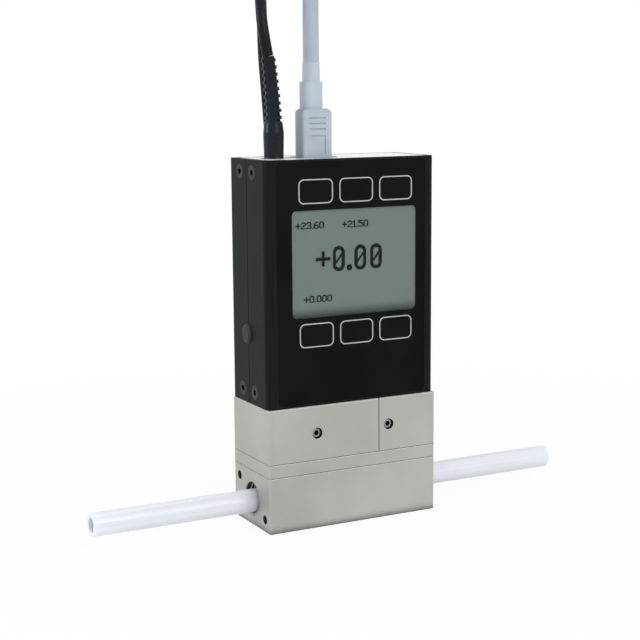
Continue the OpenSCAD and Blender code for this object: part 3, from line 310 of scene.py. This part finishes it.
def lay(name, points, diameter):
    """A round cord on one smooth curve through the points, which are in millimetres."""
    curve = bpy.data.curves.new(name, "CURVE")
    curve.dimensions = "3D"
    curve.bevel_depth = diameter / 2 * mm
    curve.bevel_resolution = 4
    curve.resolution_u = 5
    curve.use_fill_caps = True
    spline = curve.splines.new("BEZIER")
    spline.bezier_points.add(len(points) - 1)
    for knot, p in zip(spline.bezier_points, points):
        knot.co = Vector(p) * mm
        knot.handle_left_type = knot.handle_right_type = "AUTO"
    cord = bpy.data.objects.new(name, curve)
    bpy.context.scene.collection.objects.link(cord)
    return cord


def fitted(piece, material):
    """Gives a new piece its material, and lets it ride on the meter's one body."""
    piece.data.materials.append(material)
    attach(piece, "root")


power_slots = layers(radii=(24.5, 21, 17.5), heights=(21.75, 25.25, 28.75))
power_coil = wound(start=180, way=-1, slots=power_slots, turns=power_turns, entry=(28.1, 21.85),
                   climbs=[(8.55, 8.8, 3.55)])
power_lead = lay("power_lead", power_route + power_coil[:-1] + power_tail, power_d)
black_vinyl = moulded("black_vinyl", rgb(16, 19, 23), rgb(22, 25, 30), rough=0.36, size=1400, depth=0.06,
                      Specular_IOR_Level=0.12)
fitted(power_lead, black_vinyl)
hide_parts("power_cord", "power_coil", "power_tail")

# Data lead: a thicker, screened lead with a blue-grey vinyl jacket, 1.5 m long.
# It drops behind the housing into a coil of seven turns on the floor, and ends in a plug like the one at
# the top.
data_d = 5
data_turns = 7.125
data_route = [
    (-7.9, -0.5, 147.1), (-7.9, -0.5, 153), (-7.5, 0.3, 160), (-5.8, 3.5, 167), (-3, 9, 173),
    (1.3, 17.3, 176), (5.5, 25.5, 173), (8.5, 31, 167), (10, 34.2, 160), (10.4, 35, 152),
    (10.3, 34.6, 142), (10, 33.5, 130), (9.6, 32, 117), (9.1, 30, 104), (8.5, 27.5, 91),
    (7.8, 24.8, 78), (7.1, 22.2, 66), (6.5, 20.2, 55), (6.1, 19.3, 46), (6.4, 19, 37),
    (8.4, 19, 30), (13.6, 19, 25), (20.4, 19, 22.8), (28, 19, 22.6)]
data_tail = [
    (55.2, 36.3, 2.7), (57.7, 41.7, 2.9), (60.3, 47.3, 3.8), (62.5, 52.1, 4.6), (63.556, 54.366, 4.6)]
data_slots = layers(radii=(30, 25), heights=(17.5, 12.5, 7.5, 2.7))
data_coil = wound(start=-90, way=1, slots=data_slots, turns=data_turns, entry=(30, 22.6))
data_lead = lay("data_lead", data_route + data_coil + data_tail, data_d)
grey_vinyl = moulded("grey_vinyl", rgb(160, 171, 183), rgb(174, 185, 196), rough=0.46, size=1300, depth=0.05,
                     Specular_IOR_Level=0.3)
fitted(data_lead, grey_vinyl)
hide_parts("data_cord", "data_coil", "data_tail")

# Coil ties: narrow black hook-and-loop straps, one round the turns of each coil.
# Each is a woven band drawn tight round the bundle, and bent at its four corners.
strap_w = 7
strap_t = 0.6
strap_bend_r = 1.6
strap_edge_r = 0.12


def choose_in(piece, kind, wanted):
    """Opens a piece in edit mode with only the wanted faces or edges selected."""
    bpy.context.view_layer.objects.active = piece
    bpy.ops.object.mode_set(mode="EDIT")
    bpy.context.tool_settings.mesh_select_mode = (False, kind == "edge", kind == "face")
    bpy.ops.mesh.select_all(action="DESELECT")
    bpy.ops.object.mode_set(mode="OBJECT")
    for element in piece.data.polygons if kind == "face" else piece.data.edges:
        element.select = wanted(element)
    bpy.ops.object.mode_set(mode="EDIT")


def raised(tree, height, strength, distance):
    """The normal of a surface with small heights on it."""
    bump = node(tree, "Bump", Strength=strength, Distance=distance)
    tree.links.new(height, bump.inputs["Height"])
    return bump.outputs["Normal"]


def tie(name, angle, inner, outer, low, high):
    """A band round a coil's turns at an angle, between two radii and two heights."""
    deselect()
    bpy.ops.mesh.primitive_cube_add(size=1)
    band = bpy.context.active_object
    band.scale = ((outer - inner) * mm, strap_w * mm, (high - low) * mm)
    bpy.ops.object.transform_apply(location=False, rotation=False, scale=True)

    def runs_across(edge):
        start, end = (band.data.vertices[i].co.y for i in edge.vertices)
        return abs(start - end) > mm

    choose_in(band, "face", lambda face: abs(face.normal.y) > 0.9)
    bpy.ops.mesh.delete(type="ONLY_FACE")
    choose_in(band, "edge", runs_across)
    bpy.ops.mesh.bevel(offset=strap_bend_r * mm, segments=5, affect="EDGES")
    bpy.ops.object.mode_set(mode="OBJECT")
    wall = band.modifiers.new("wall", "SOLIDIFY")
    wall.thickness = strap_t * mm
    wall.offset = 0
    bpy.ops.object.modifier_apply(modifier="wall")
    soft = band.modifiers.new("soft", "BEVEL")
    soft.width = strap_edge_r * mm
    soft.segments = 2
    bpy.ops.object.modifier_apply(modifier="soft")
    middle, a = (inner + outer) / 2, math.radians(angle)
    band.rotation_euler = (0, 0, a)
    band.location = Vector((coil_middle[0] + middle * math.cos(a), coil_middle[1] + middle * math.sin(a),
                            (low + high) / 2)) * mm
    settle(band, name)
    fitted(band, strap_weave)
    return band


strap_weave, tree, shader = finish_of("strap_weave", Sheen_Weight=0.3, Sheen_Roughness=0.4, Roughness=0.8)
where = node(tree, "TexCoord").outputs["Object"]
threads = node(tree, "TexWave", wave_type="BANDS", bands_direction="Z", Scale=550, Distortion=0.8)
tree.links.new(where, threads.inputs["Vector"])
weave = raised(tree, threads.outputs["Fac"], strength=0.5, distance=0.0001)
tree.links.new(weave, shader.inputs["Normal"])
two_tone(tree, shader, threads.outputs["Fac"], rgb(20, 20, 21), rgb(36, 36, 38), low=0, high=1)
data_tie = tie("data_tie", angle=100, inner=22.6, outer=32.4, low=0.3, high=19.8)
power_tie = tie("power_tie", angle=20, inner=15.9, outer=26.1, low=20.4, high=30.3)

# Wetted blocks: bar stock of stainless steel, milled, finely blasted and wiped with an abrasive pad,
# so that they are matt with a faint level grain; the small chamfers shine with a painted highlight, and
# painted shade darkens the joints and holes.
# Painted highlight on edges lifts the pale tone by this gain.
edge_highlight_gain = 1.22
# Painted shade in hollows runs towards this near black.
shade_black = (0.004, 0.004, 0.004, 1)


def stretched(tree, vector, scale):
    """Coordinates at another rate along each axis, for a grain that is drawn out."""
    mapping = node(tree, "Mapping", Scale=scale)
    tree.links.new(vector, mapping.inputs["Vector"])
    return mapping.outputs["Vector"]


def sum_of(tree, first, second):
    """Two masks added."""
    total = node(tree, "Math", operation="ADD")
    tree.links.new(first, total.inputs[0])
    tree.links.new(second, total.inputs[1])
    return total.outputs[0]


# blasted steel: level scratches over blasting, and a mask of the edges, where a rounded normal turns away
steel_group, source, sink = effect("blasted_steel", [("Grain", 1), ("Edge", 0.00035)],
                                   ["Normal", "Cloud", "Scratch", "Edge"])
where = node(steel_group, "TexCoord").outputs["Object"]
scratch = noise(steel_group, stretched(steel_group, where, (260, 260, 5200)), 1)
blast = noise(steel_group, where, 3200)
bump = node(steel_group, "Bump", Distance=0.00004)
rounded = node(steel_group, "Bevel", samples=4)
shape = node(steel_group, "NewGeometry")
flatness = node(steel_group, "VectorMath", operation="DOT_PRODUCT")
edge = node(steel_group, "MapRange", From_Min=0.999, From_Max=0.90)
link = steel_group.links.new
link(sum_of(steel_group, scratch, blast), bump.inputs["Height"])
link(source.outputs["Grain"], bump.inputs["Strength"])
link(source.outputs["Edge"], rounded.inputs["Radius"])
link(rounded.outputs["Normal"], bump.inputs["Normal"])
link(rounded.outputs["Normal"], flatness.inputs[0])
link(shape.outputs["Normal"], flatness.inputs[1])
link(flatness.outputs["Value"], edge.inputs["Value"])
link(bump.outputs["Normal"], sink.inputs["Normal"])
link(noise(steel_group, where, 34, detail=3), sink.inputs["Cloud"])
link(scratch, sink.inputs["Scratch"])
link(edge.outputs["Result"], sink.inputs["Edge"])


def painted_hollow_shade(tree, shader, colour, reach, deepest):
    """Paints shade into the colour in grooves, holes and sockets, where little light reaches."""
    # Painted shade: the colour darkens as ambient occlusion rises.
    hollow = node(tree, "AmbientOcclusion", samples=6, Distance=reach)
    depth = node(tree, "MapRange", From_Min=0.45, From_Max=0.90, To_Min=deepest)
    shaded = node(tree, "Mix", data_type="RGBA", A=shade_black)
    tree.links.new(hollow.outputs["AO"], depth.inputs["Value"])
    tree.links.new(depth.outputs["Result"], shaded.inputs["Factor"])
    tree.links.new(colour, shaded.inputs["B"])
    tree.links.new(shaded.outputs["Result"], shader.inputs["Base Color"])


def steel(name, dark, pale, rough, grain, edge, reach=0.003, deepest=0.04, spread=0.06, **sockets):
    """Machined metal with a grain, a painted highlight on its edges and painted shade in its hollows."""
    material, tree, shader = finish_of(name, **sockets)
    group = node(tree, "Group", node_tree=steel_group, Grain=grain, Edge=edge)
    base = two_tone(tree, shader, group.outputs["Cloud"], dark, pale)
    # Painted highlight: the edge mask lifts the colour towards a paler tone.
    edge_highlight = node(tree, "Mix", data_type="RGBA", B=tuple(min(1, v * edge_highlight_gain) for v in pale[:3]) + (1,))
    tree.links.new(group.outputs["Edge"], edge_highlight.inputs["Factor"])
    tree.links.new(base, edge_highlight.inputs["A"])
    painted_hollow_shade(tree, shader, edge_highlight.outputs["Result"], reach, deepest)
    two_tone(tree, shader, group.outputs["Scratch"], rough - spread, rough + spread, "Roughness")
    tree.links.new(group.outputs["Normal"], shader.inputs["Normal"])
    return material


def dress(material, slot, *names):
    """Gives CAD nodes their material."""
    for name in names:
        data = nodes[name].data
        data.materials.clear()
        data.materials.append(material)


stainless = steel("stainless_steel", rgb(171, 171, 165), rgb(181, 181, 176), rough=0.48, grain=0.11,
                  edge=0.00028, spread=0.03, Metallic=0.82)
dress(stainless, "stainless_steel", "flow_body", "laminar_element", "cover_plate", "sensor_block",
      "pressure_block")

# Port threads: the tapped thread in the mouth of each port, cut in the same steel.
# The ridge runs round the bore in a helix, with a rounded crest, and is left out below the tube.
thread_pitch = 1.15
thread_turns = 6
thread_steps = 40
ridge_r = 0.33
ridge_width = 1.15
ridge_middle_r = 4.87
ridge_lowest = 6.2
port_z = 9.1


def thread(name, start):
    """A port's thread, which begins at a place along the meter."""
    deselect()
    bpy.ops.mesh.primitive_circle_add(vertices=5, radius=ridge_r * mm, fill_type="NOTHING")
    ridge = bpy.context.active_object
    ridge.rotation_euler = (math.radians(90), math.radians(90), 0)
    ridge.scale = (ridge_width, 1, 1)
    bpy.ops.object.transform_apply(location=False, rotation=True, scale=True)
    bpy.ops.object.mode_set(mode="EDIT")
    bpy.ops.mesh.select_all(action="SELECT")
    bpy.ops.transform.translate(value=(0, 0, ridge_middle_r * mm))
    bpy.ops.object.mode_set(mode="OBJECT")
    screw = ridge.modifiers.new("helix", "SCREW")
    screw.axis = "X"
    screw.steps = screw.render_steps = thread_steps
    screw.iterations = thread_turns
    screw.angle = math.radians(360)
    screw.screw_offset = thread_pitch * mm
    bpy.ops.object.modifier_apply(modifier="helix")
    ridge.location = (start * mm, 0, port_z * mm)
    settle(ridge, name)
    choose_in(ridge, "face", lambda face: face.center.z < ridge_lowest * mm)
    bpy.ops.mesh.delete(type="FACE")
    bpy.ops.mesh.select_all(action="SELECT")
    bpy.ops.mesh.fill_holes(sides=5)
    bpy.ops.mesh.normals_make_consistent(inside=False)
    bpy.ops.object.mode_set(mode="OBJECT")
    bpy.ops.object.shade_smooth_by_angle(angle=math.radians(40))
    fitted(ridge, cut_steel)


# Painted shade darkens the grooves between the thread's turns strongly.
cut_steel = steel("cut_steel", rgb(172, 174, 172), rgb(190, 192, 190), rough=0.30, grain=0.12, edge=0.0001,
                  reach=0.001, deepest=0.5, Metallic=0.9)
thread("inlet_thread", start=-29.4)
thread("outlet_thread", start=22.6)

# Screws, sensors, display frame: plain machined or drawn steel, brighter than the blocks.
# The bleed screws sit just below the front face, and the long socket screws stand in counterbores on top.
bright_steel = steel("bright_steel", rgb(168, 169, 167), rgb(190, 191, 189), rough=0.30, grain=0.15,
                     edge=0.00015, Metallic=0.95)
dress(bright_steel, "screw_steel", "bleed_screws", "block_screws", "difference_sensor", "line_sensor",
      "temperature_probe", "bracket_screws", "display_frame", "board_screws")

# Seals: black rubber rings and one flat gasket, pressed between the blocks and round the tubes.
# Moulded, with a dull bloom on the skin.
seal_rubber = moulded("seal_rubber", rgb(20, 20, 20), rgb(30, 30, 31), rough=0.72, size=1600, depth=0.1,
                      Specular_IOR_Level=0.15)
dress(seal_rubber, "seal_rubber", "chamber_gasket", "tap_seals", "tube_seals")

# Tubes: stiff milky fluoropolymer tube, cut square, pushed into its seat behind the thread.
# Light passes into the wall, so the tube is almost white, with a bluish shade and a soft line of gloss.
milky, tree, shader = finish_of("milky_tube", Subsurface_Weight=0.55, Subsurface_Scale=0.003,
                                Subsurface_Radius=(0.8, 0.9, 1.0), Roughness=0.22, IOR=1.37, Coat_Weight=0.15,
                                Coat_Roughness=0.12)
where = node(tree, "TexCoord").outputs["Object"]
streak = noise(tree, stretched(tree, where, (12, 900, 900)), 1)
tree.links.new(raised(tree, streak, strength=0.08, distance=0.00005), shader.inputs["Normal"])
two_tone(tree, shader, streak, rgb(227, 230, 243), rgb(235, 238, 248))
dress(milky, "milky_tube", "inlet_tube", "outlet_tube")

# Housing shells: two halves of aluminium extrusion, anodised black, that meet in a seam down the sides.
# The draw of the die leaves a very fine upright grain, and painted shade darkens the seam and the screw
# holes.
black_anodised, tree, shader = finish_of("black_anodised", Metallic=0.05, Specular_IOR_Level=0.055)
where = node(tree, "TexCoord").outputs["Object"]
streak = noise(tree, stretched(tree, where, (3800, 3800, 60)), 1, detail=3)
etch = noise(tree, where, 5200)
skin = raised(tree, sum_of(tree, streak, etch), strength=0.16, distance=0.00003)
tree.links.new(skin, shader.inputs["Normal"])
base = two_tone(tree, shader, streak, rgb(19, 22, 22), rgb(26, 29, 29))
# Painted shade in the seam and the screw holes.
painted_hollow_shade(tree, shader, base, reach=0.0012, deepest=0.2)
two_tone(tree, shader, etch, 0.40, 0.50, "Roughness")
dress(black_anodised, "black_anodised", "front_shell", "rear_shell")

# Cap, bracket and board spacers: aluminium, milled and clear anodised, with a satin skin.
# The cap closes the top of the housing and is a bare, pale metal beside the black shells.
clear_anodised = steel("clear_anodised", rgb(232, 233, 233), rgb(241, 242, 242), rough=0.42, grain=0.2,
                       edge=0.0002, Metallic=0.6)
dress(clear_anodised, "clear_anodised", "top_cap", "base_bracket", "board_spacers")

# Side screws: countersunk socket screws in black oxide, flush with the shells' sides.
# The oxide is a little greyer and glossier than the anodised skin around it.
black_oxide = steel("black_oxide", rgb(36, 39, 39), rgb(46, 49, 49), rough=0.36, grain=0.15, edge=0.00012,
                    Metallic=0.25, Specular_IOR_Level=0.12)
dress(black_oxide, "black_screws", "side_screws")

# Side plug, key switches, chips and sockets: black nylon and moulding compound with a fine spark grain.
# The side plug snaps into its hole across the seam and closes it with a low domed head.
black_nylon = moulded("black_nylon", rgb(26, 29, 29), rgb(33, 36, 36), rough=0.46, size=1700, depth=0.16,
                      Specular_IOR_Level=0.2)
dress(black_nylon, "black_nylon", "side_plug", "key_switches", "board_components", "power_jack",
      "data_socket")

# Keypad overlay: polyester film, printed black from behind, with a fine matt hard coat on its face.
# It fills the front of the housing and holds the six keys and the display's window in one sheet.
overlay_film = moulded("overlay_film", rgb(15, 17, 16), rgb(19, 21, 20), rough=0.30, size=2600, depth=0.05,
                       Specular_IOR_Level=0.03)
dress(overlay_film, "overlay_film", "keypad_overlay")

# Key outlines: a thin line of light grey ink round each key, screen printed.
# The ink has a slightly uneven, dull surface.
key_print = moulded("key_print", rgb(166, 168, 166), rgb(184, 186, 184), rough=0.6, size=2200, depth=0.05)
dress(key_print, "key_print", "key_frames")

# Display window: the clear part of the film, left unprinted.
# It is thin and clear, with the same hard coat, and shows the display just behind it.
clear_window, tree, shader = finish_of("clear_window", Roughness=0.12, IOR=1.3, Specular_IOR_Level=0.06)
haze = noise(tree, node(tree, "TexCoord").outputs["Object"], 2400)
two_tone(tree, shader, haze, rgb(210, 214, 211), rgb(224, 228, 225))
two_tone(tree, shader, haze, 0.004, 0.012, "Alpha", low=0.3, high=0.7)
dress(clear_window, "clear_window", "display_window")

# Display glass: a reflective liquid-crystal display with a grey-green back.
# The back is evenly lit, and it is darker along the lower edge, where the frame shades it.
shade_low, shade_high = 67.8 * mm, 72.0 * mm
display_back, tree, shader = finish_of("display_back", Roughness=0.42, Specular_IOR_Level=0.12)
where = node(tree, "TexCoord").outputs["Object"]
axes = node(tree, "SeparateXYZ")
shade = node(tree, "MapRange", interpolation_type="SMOOTHSTEP", From_Min=shade_low, From_Max=shade_high)
under = node(tree, "Mix", data_type="RGBA", A=rgb(56, 62, 59))
ground = two_tone(tree, shader, noise(tree, where, 3000), rgb(104, 117, 111), rgb(110, 122, 116))
tree.links.new(where, axes.inputs["Vector"])
tree.links.new(axes.outputs["Z"], shade.inputs["Value"])
tree.links.new(shade.outputs["Result"], under.inputs["Factor"])
tree.links.new(ground, under.inputs["B"])
tree.links.new(under.outputs["Result"], shader.inputs["Base Color"])
dress(display_back, "display", "display_glass")

# Display characters: dark dots of the liquid crystal. The large reading is drawn with rounded strokes,
# and the small ones from cells five dots wide and seven high; all of them are plain numbers.
small_glyphs = {
    "+": ["     ", "  #  ", "  #  ", "#####", "  #  ", "  #  ", "     "],
    "0": [" ### ", "#   #", "#   #", "#   #", "#   #", "#   #", " ### "],
    "1": [" # ", "## ", " # ", " # ", " # ", " # ", "###"],
    "2": [" ### ", "#   #", "    #", "  ## ", " #   ", "#    ", "#####"],
    "3": [" ### ", "#   #", "    #", "  ## ", "    #", "#   #", " ### "],
    "5": ["#####", "#    ", "#### ", "    #", "    #", "#   #", " ### "],
    "6": ["  ## ", " #   ", "#    ", "#### ", "#   #", "#   #", " ### "],
    ".": [" ", " ", " ", " ", " ", " ", "#"]}
glyph_rows = 7
small_dot = 0.315
large_step = 0.16
half_stroke = 0.60
plus_x, plus_z, plus_half_h, plus_right = 2.6, 4.15, 2.45, 5.3
crossbar_half = 0.56
point_x, point_z, point_r_squared = 12.0, 0.90, 1.05
zero_places, zero_z = (8.2, 15.95, 21.65), 3.95
zero_straight, zero_inner_r, zero_outer_r = 1.86, 0.96, 2.19
slash_slope, slash_half_h, slash_reach = 1.3, 1.6, 1.2
characters_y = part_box("display_glass")[0][1] - 0.02 * mm


def dots(name, left, foot, wide, high, pitch, lit):
    """A sheet of dots from which all but the lit ones are taken away."""
    deselect()
    bpy.ops.mesh.primitive_grid_add(x_subdivisions=wide, y_subdivisions=high, size=1)
    sheet = bpy.context.active_object
    sheet.scale = (wide * pitch * mm, high * pitch * mm, 1)
    sheet.rotation_euler = (math.radians(90), 0, 0)
    sheet.location = ((left + wide * pitch / 2) * mm, characters_y, (foot + high * pitch / 2) * mm)
    settle(sheet, name)
    choose_in(sheet, "face", lambda face: not lit(
        int((face.center.x / mm - left) / pitch), int((face.center.z / mm - foot) / pitch)))
    bpy.ops.mesh.delete(type="FACE")
    bpy.ops.object.mode_set(mode="OBJECT")
    fitted(sheet, crystal)


def small_reading(name, text, left, foot):
    """A line of small characters. A dot is three cells wide and high, and bleeds two cells right and one
    down."""
    lines = [""] * glyph_rows
    for mark in text:
        for i in range(glyph_rows):
            lines[i] += small_glyphs[mark][i] + " "

    def lit(column, row):
        near = [(column // 3, row // 3), ((column - 2) // 3, row // 3), (column // 3, (row + 1) // 3)]
        return any(c >= 0 and r < glyph_rows and lines[glyph_rows - 1 - r][c] == "#" for c, r in near)

    dots(name, left, foot, 3 * len(lines[0]), 3 * glyph_rows, small_dot / 3, lit)


def zero(x, z):
    """The strokes of a large slashed zero, from its middle."""
    reach = math.hypot(x, max(0, abs(z) - zero_straight))
    slash = abs(z - x * slash_slope) < half_stroke and abs(z) < slash_half_h and reach < slash_reach
    return zero_inner_r < reach < zero_outer_r or slash


def large_reading(column, row):
    """The large reading's strokes on a fine grid; x and z in millimetres from its lower left."""
    x, z = (column + 0.5) * large_step, (row + 0.5) * large_step
    upright = abs(x - plus_x) < half_stroke and abs(z - plus_z) < plus_half_h
    crossbar = x < plus_right and abs(z - plus_z) < crossbar_half
    point = (x - point_x) ** 2 + (z - point_z) ** 2 < point_r_squared
    zeros = any(zero(x - middle, z - zero_z) for middle in zero_places)
    return upright or crossbar or point or zeros


crystal, tree, shader = finish_of("dark_crystal", Specular_IOR_Level=0.05, Roughness=0.5)
uneven = noise(tree, node(tree, "TexCoord").outputs["Object"], 1500)
two_tone(tree, shader, uneven, rgb(7, 10, 9), rgb(13, 17, 15))
small_reading("left_reading", "+23.60", left=-19.75, foot=95.95)
small_reading("middle_reading", "+21.50", left=-3.36, foot=95.75)
small_reading("lower_reading", "+0.000", left=-17.06, foot=72.8)
dots("large_reading", left=-12.85, foot=82.2, wide=150, high=51, pitch=large_step, lit=large_reading)

# Circuit boards: glass-fibre laminate under green solder mask.
# The copper runs below show as a slightly lighter net of lines.
board_green, tree, shader = finish_of("circuit_board", Coat_Weight=0.3, Coat_Roughness=0.2, Roughness=0.42)
where = node(tree, "TexCoord").outputs["Object"]
upended = node(tree, "Mapping", Rotation=(math.radians(90), 0, 0))
runs = node(tree, "TexBrick", Scale=160, Mortar_Size=0.03, Color1=rgb(20, 84, 48), Color2=rgb(24, 92, 52),
            Mortar=rgb(52, 120, 74))
tree.links.new(where, upended.inputs["Vector"])
tree.links.new(upended.outputs["Vector"], runs.inputs["Vector"])
tree.links.new(runs.outputs["Color"], shader.inputs["Base Color"])
copper = raised(tree, runs.outputs["Fac"], strength=0.2, distance=0.00004)
tree.links.new(copper, shader.inputs["Normal"])
dress(board_green, "circuit_board", "display_board", "main_board", "sensor_board")

# Plugs: the power plug is moulded in black vinyl on the end of its lead, with a ringed strain relief.
# The data plugs are moulded in blue-grey vinyl, with three grip marks and a sunk pad in the flat front.
# The sensors' flat ribbon cable has the same grey vinyl.
plug_black = moulded("plug_black", rgb(12, 17, 22), rgb(18, 23, 29), rough=0.24, size=1500, depth=0.08,
                     Specular_IOR_Level=0.20)
dress(plug_black, "black_vinyl", "power_plug")
plug_grey = moulded("plug_grey", rgb(172, 183, 194), rgb(184, 195, 205), rough=0.44, size=1500, depth=0.08,
                    Specular_IOR_Level=0.3)
dress(plug_grey, "grey_vinyl", "data_plug", "data_far_plug", "sensor_ribbon")

# Contacts: the plugs' metal shells, pins and barrel, drawn from brass and nickel plated.
# The plate is bright, with light rubbing marks.
plated = steel("plated_contacts", rgb(196, 196, 192), rgb(214, 214, 210), rough=0.2, grain=0.08, edge=0.0001,
               Metallic=1.0)
dress(plated, "plated_contacts", "power_barrel", "data_plug_shell", "data_plug_pins", "data_far_shell",
      "data_far_pins")

# Cores: the power lead's two conductors, one in red and one in black insulation, stripped and tinned.
# They stand out of the jacket's end by the width of a finger, side by side.
bare_from = 7
jacket_end = Vector(power_tail[-1]) * mm
along = (Vector(power_tail[-1]) - Vector(power_tail[-2])).normalized()
across = Vector((along.y, -along.x, 0))


def beyond(tree, where, direction, start):
    """1 where a point lies past start along a direction, and 0 before it."""
    dot = node(tree, "VectorMath", operation="DOT_PRODUCT")
    dot.inputs[1].default_value = direction
    tree.links.new(where, dot.inputs[0])
    over = node(tree, "Math", operation="GREATER_THAN")
    over.inputs[1].default_value = direction.dot(start)
    tree.links.new(dot.outputs["Value"], over.inputs[0])
    return over.outputs[0]


core_ends, tree, shader = finish_of("core_insulation", Roughness=0.35)
where = node(tree, "TexCoord").outputs["Object"]
stripped = beyond(tree, where, along, jacket_end + along * bare_from * mm)
second = beyond(tree, where, across, jacket_end)
colours = node(tree, "Mix", data_type="RGBA", A=rgb(176, 26, 20), B=rgb(24, 24, 26))
tinned = node(tree, "Mix", data_type="RGBA", B=rgb(205, 205, 200))
tree.links.new(second, colours.inputs["Factor"])
tree.links.new(stripped, tinned.inputs["Factor"])
tree.links.new(colours.outputs["Result"], tinned.inputs["A"])
tree.links.new(tinned.outputs["Result"], shader.inputs["Base Color"])
tree.links.new(stripped, shader.inputs["Metallic"])
dress(core_ends, "core_insulation", "power_cores")
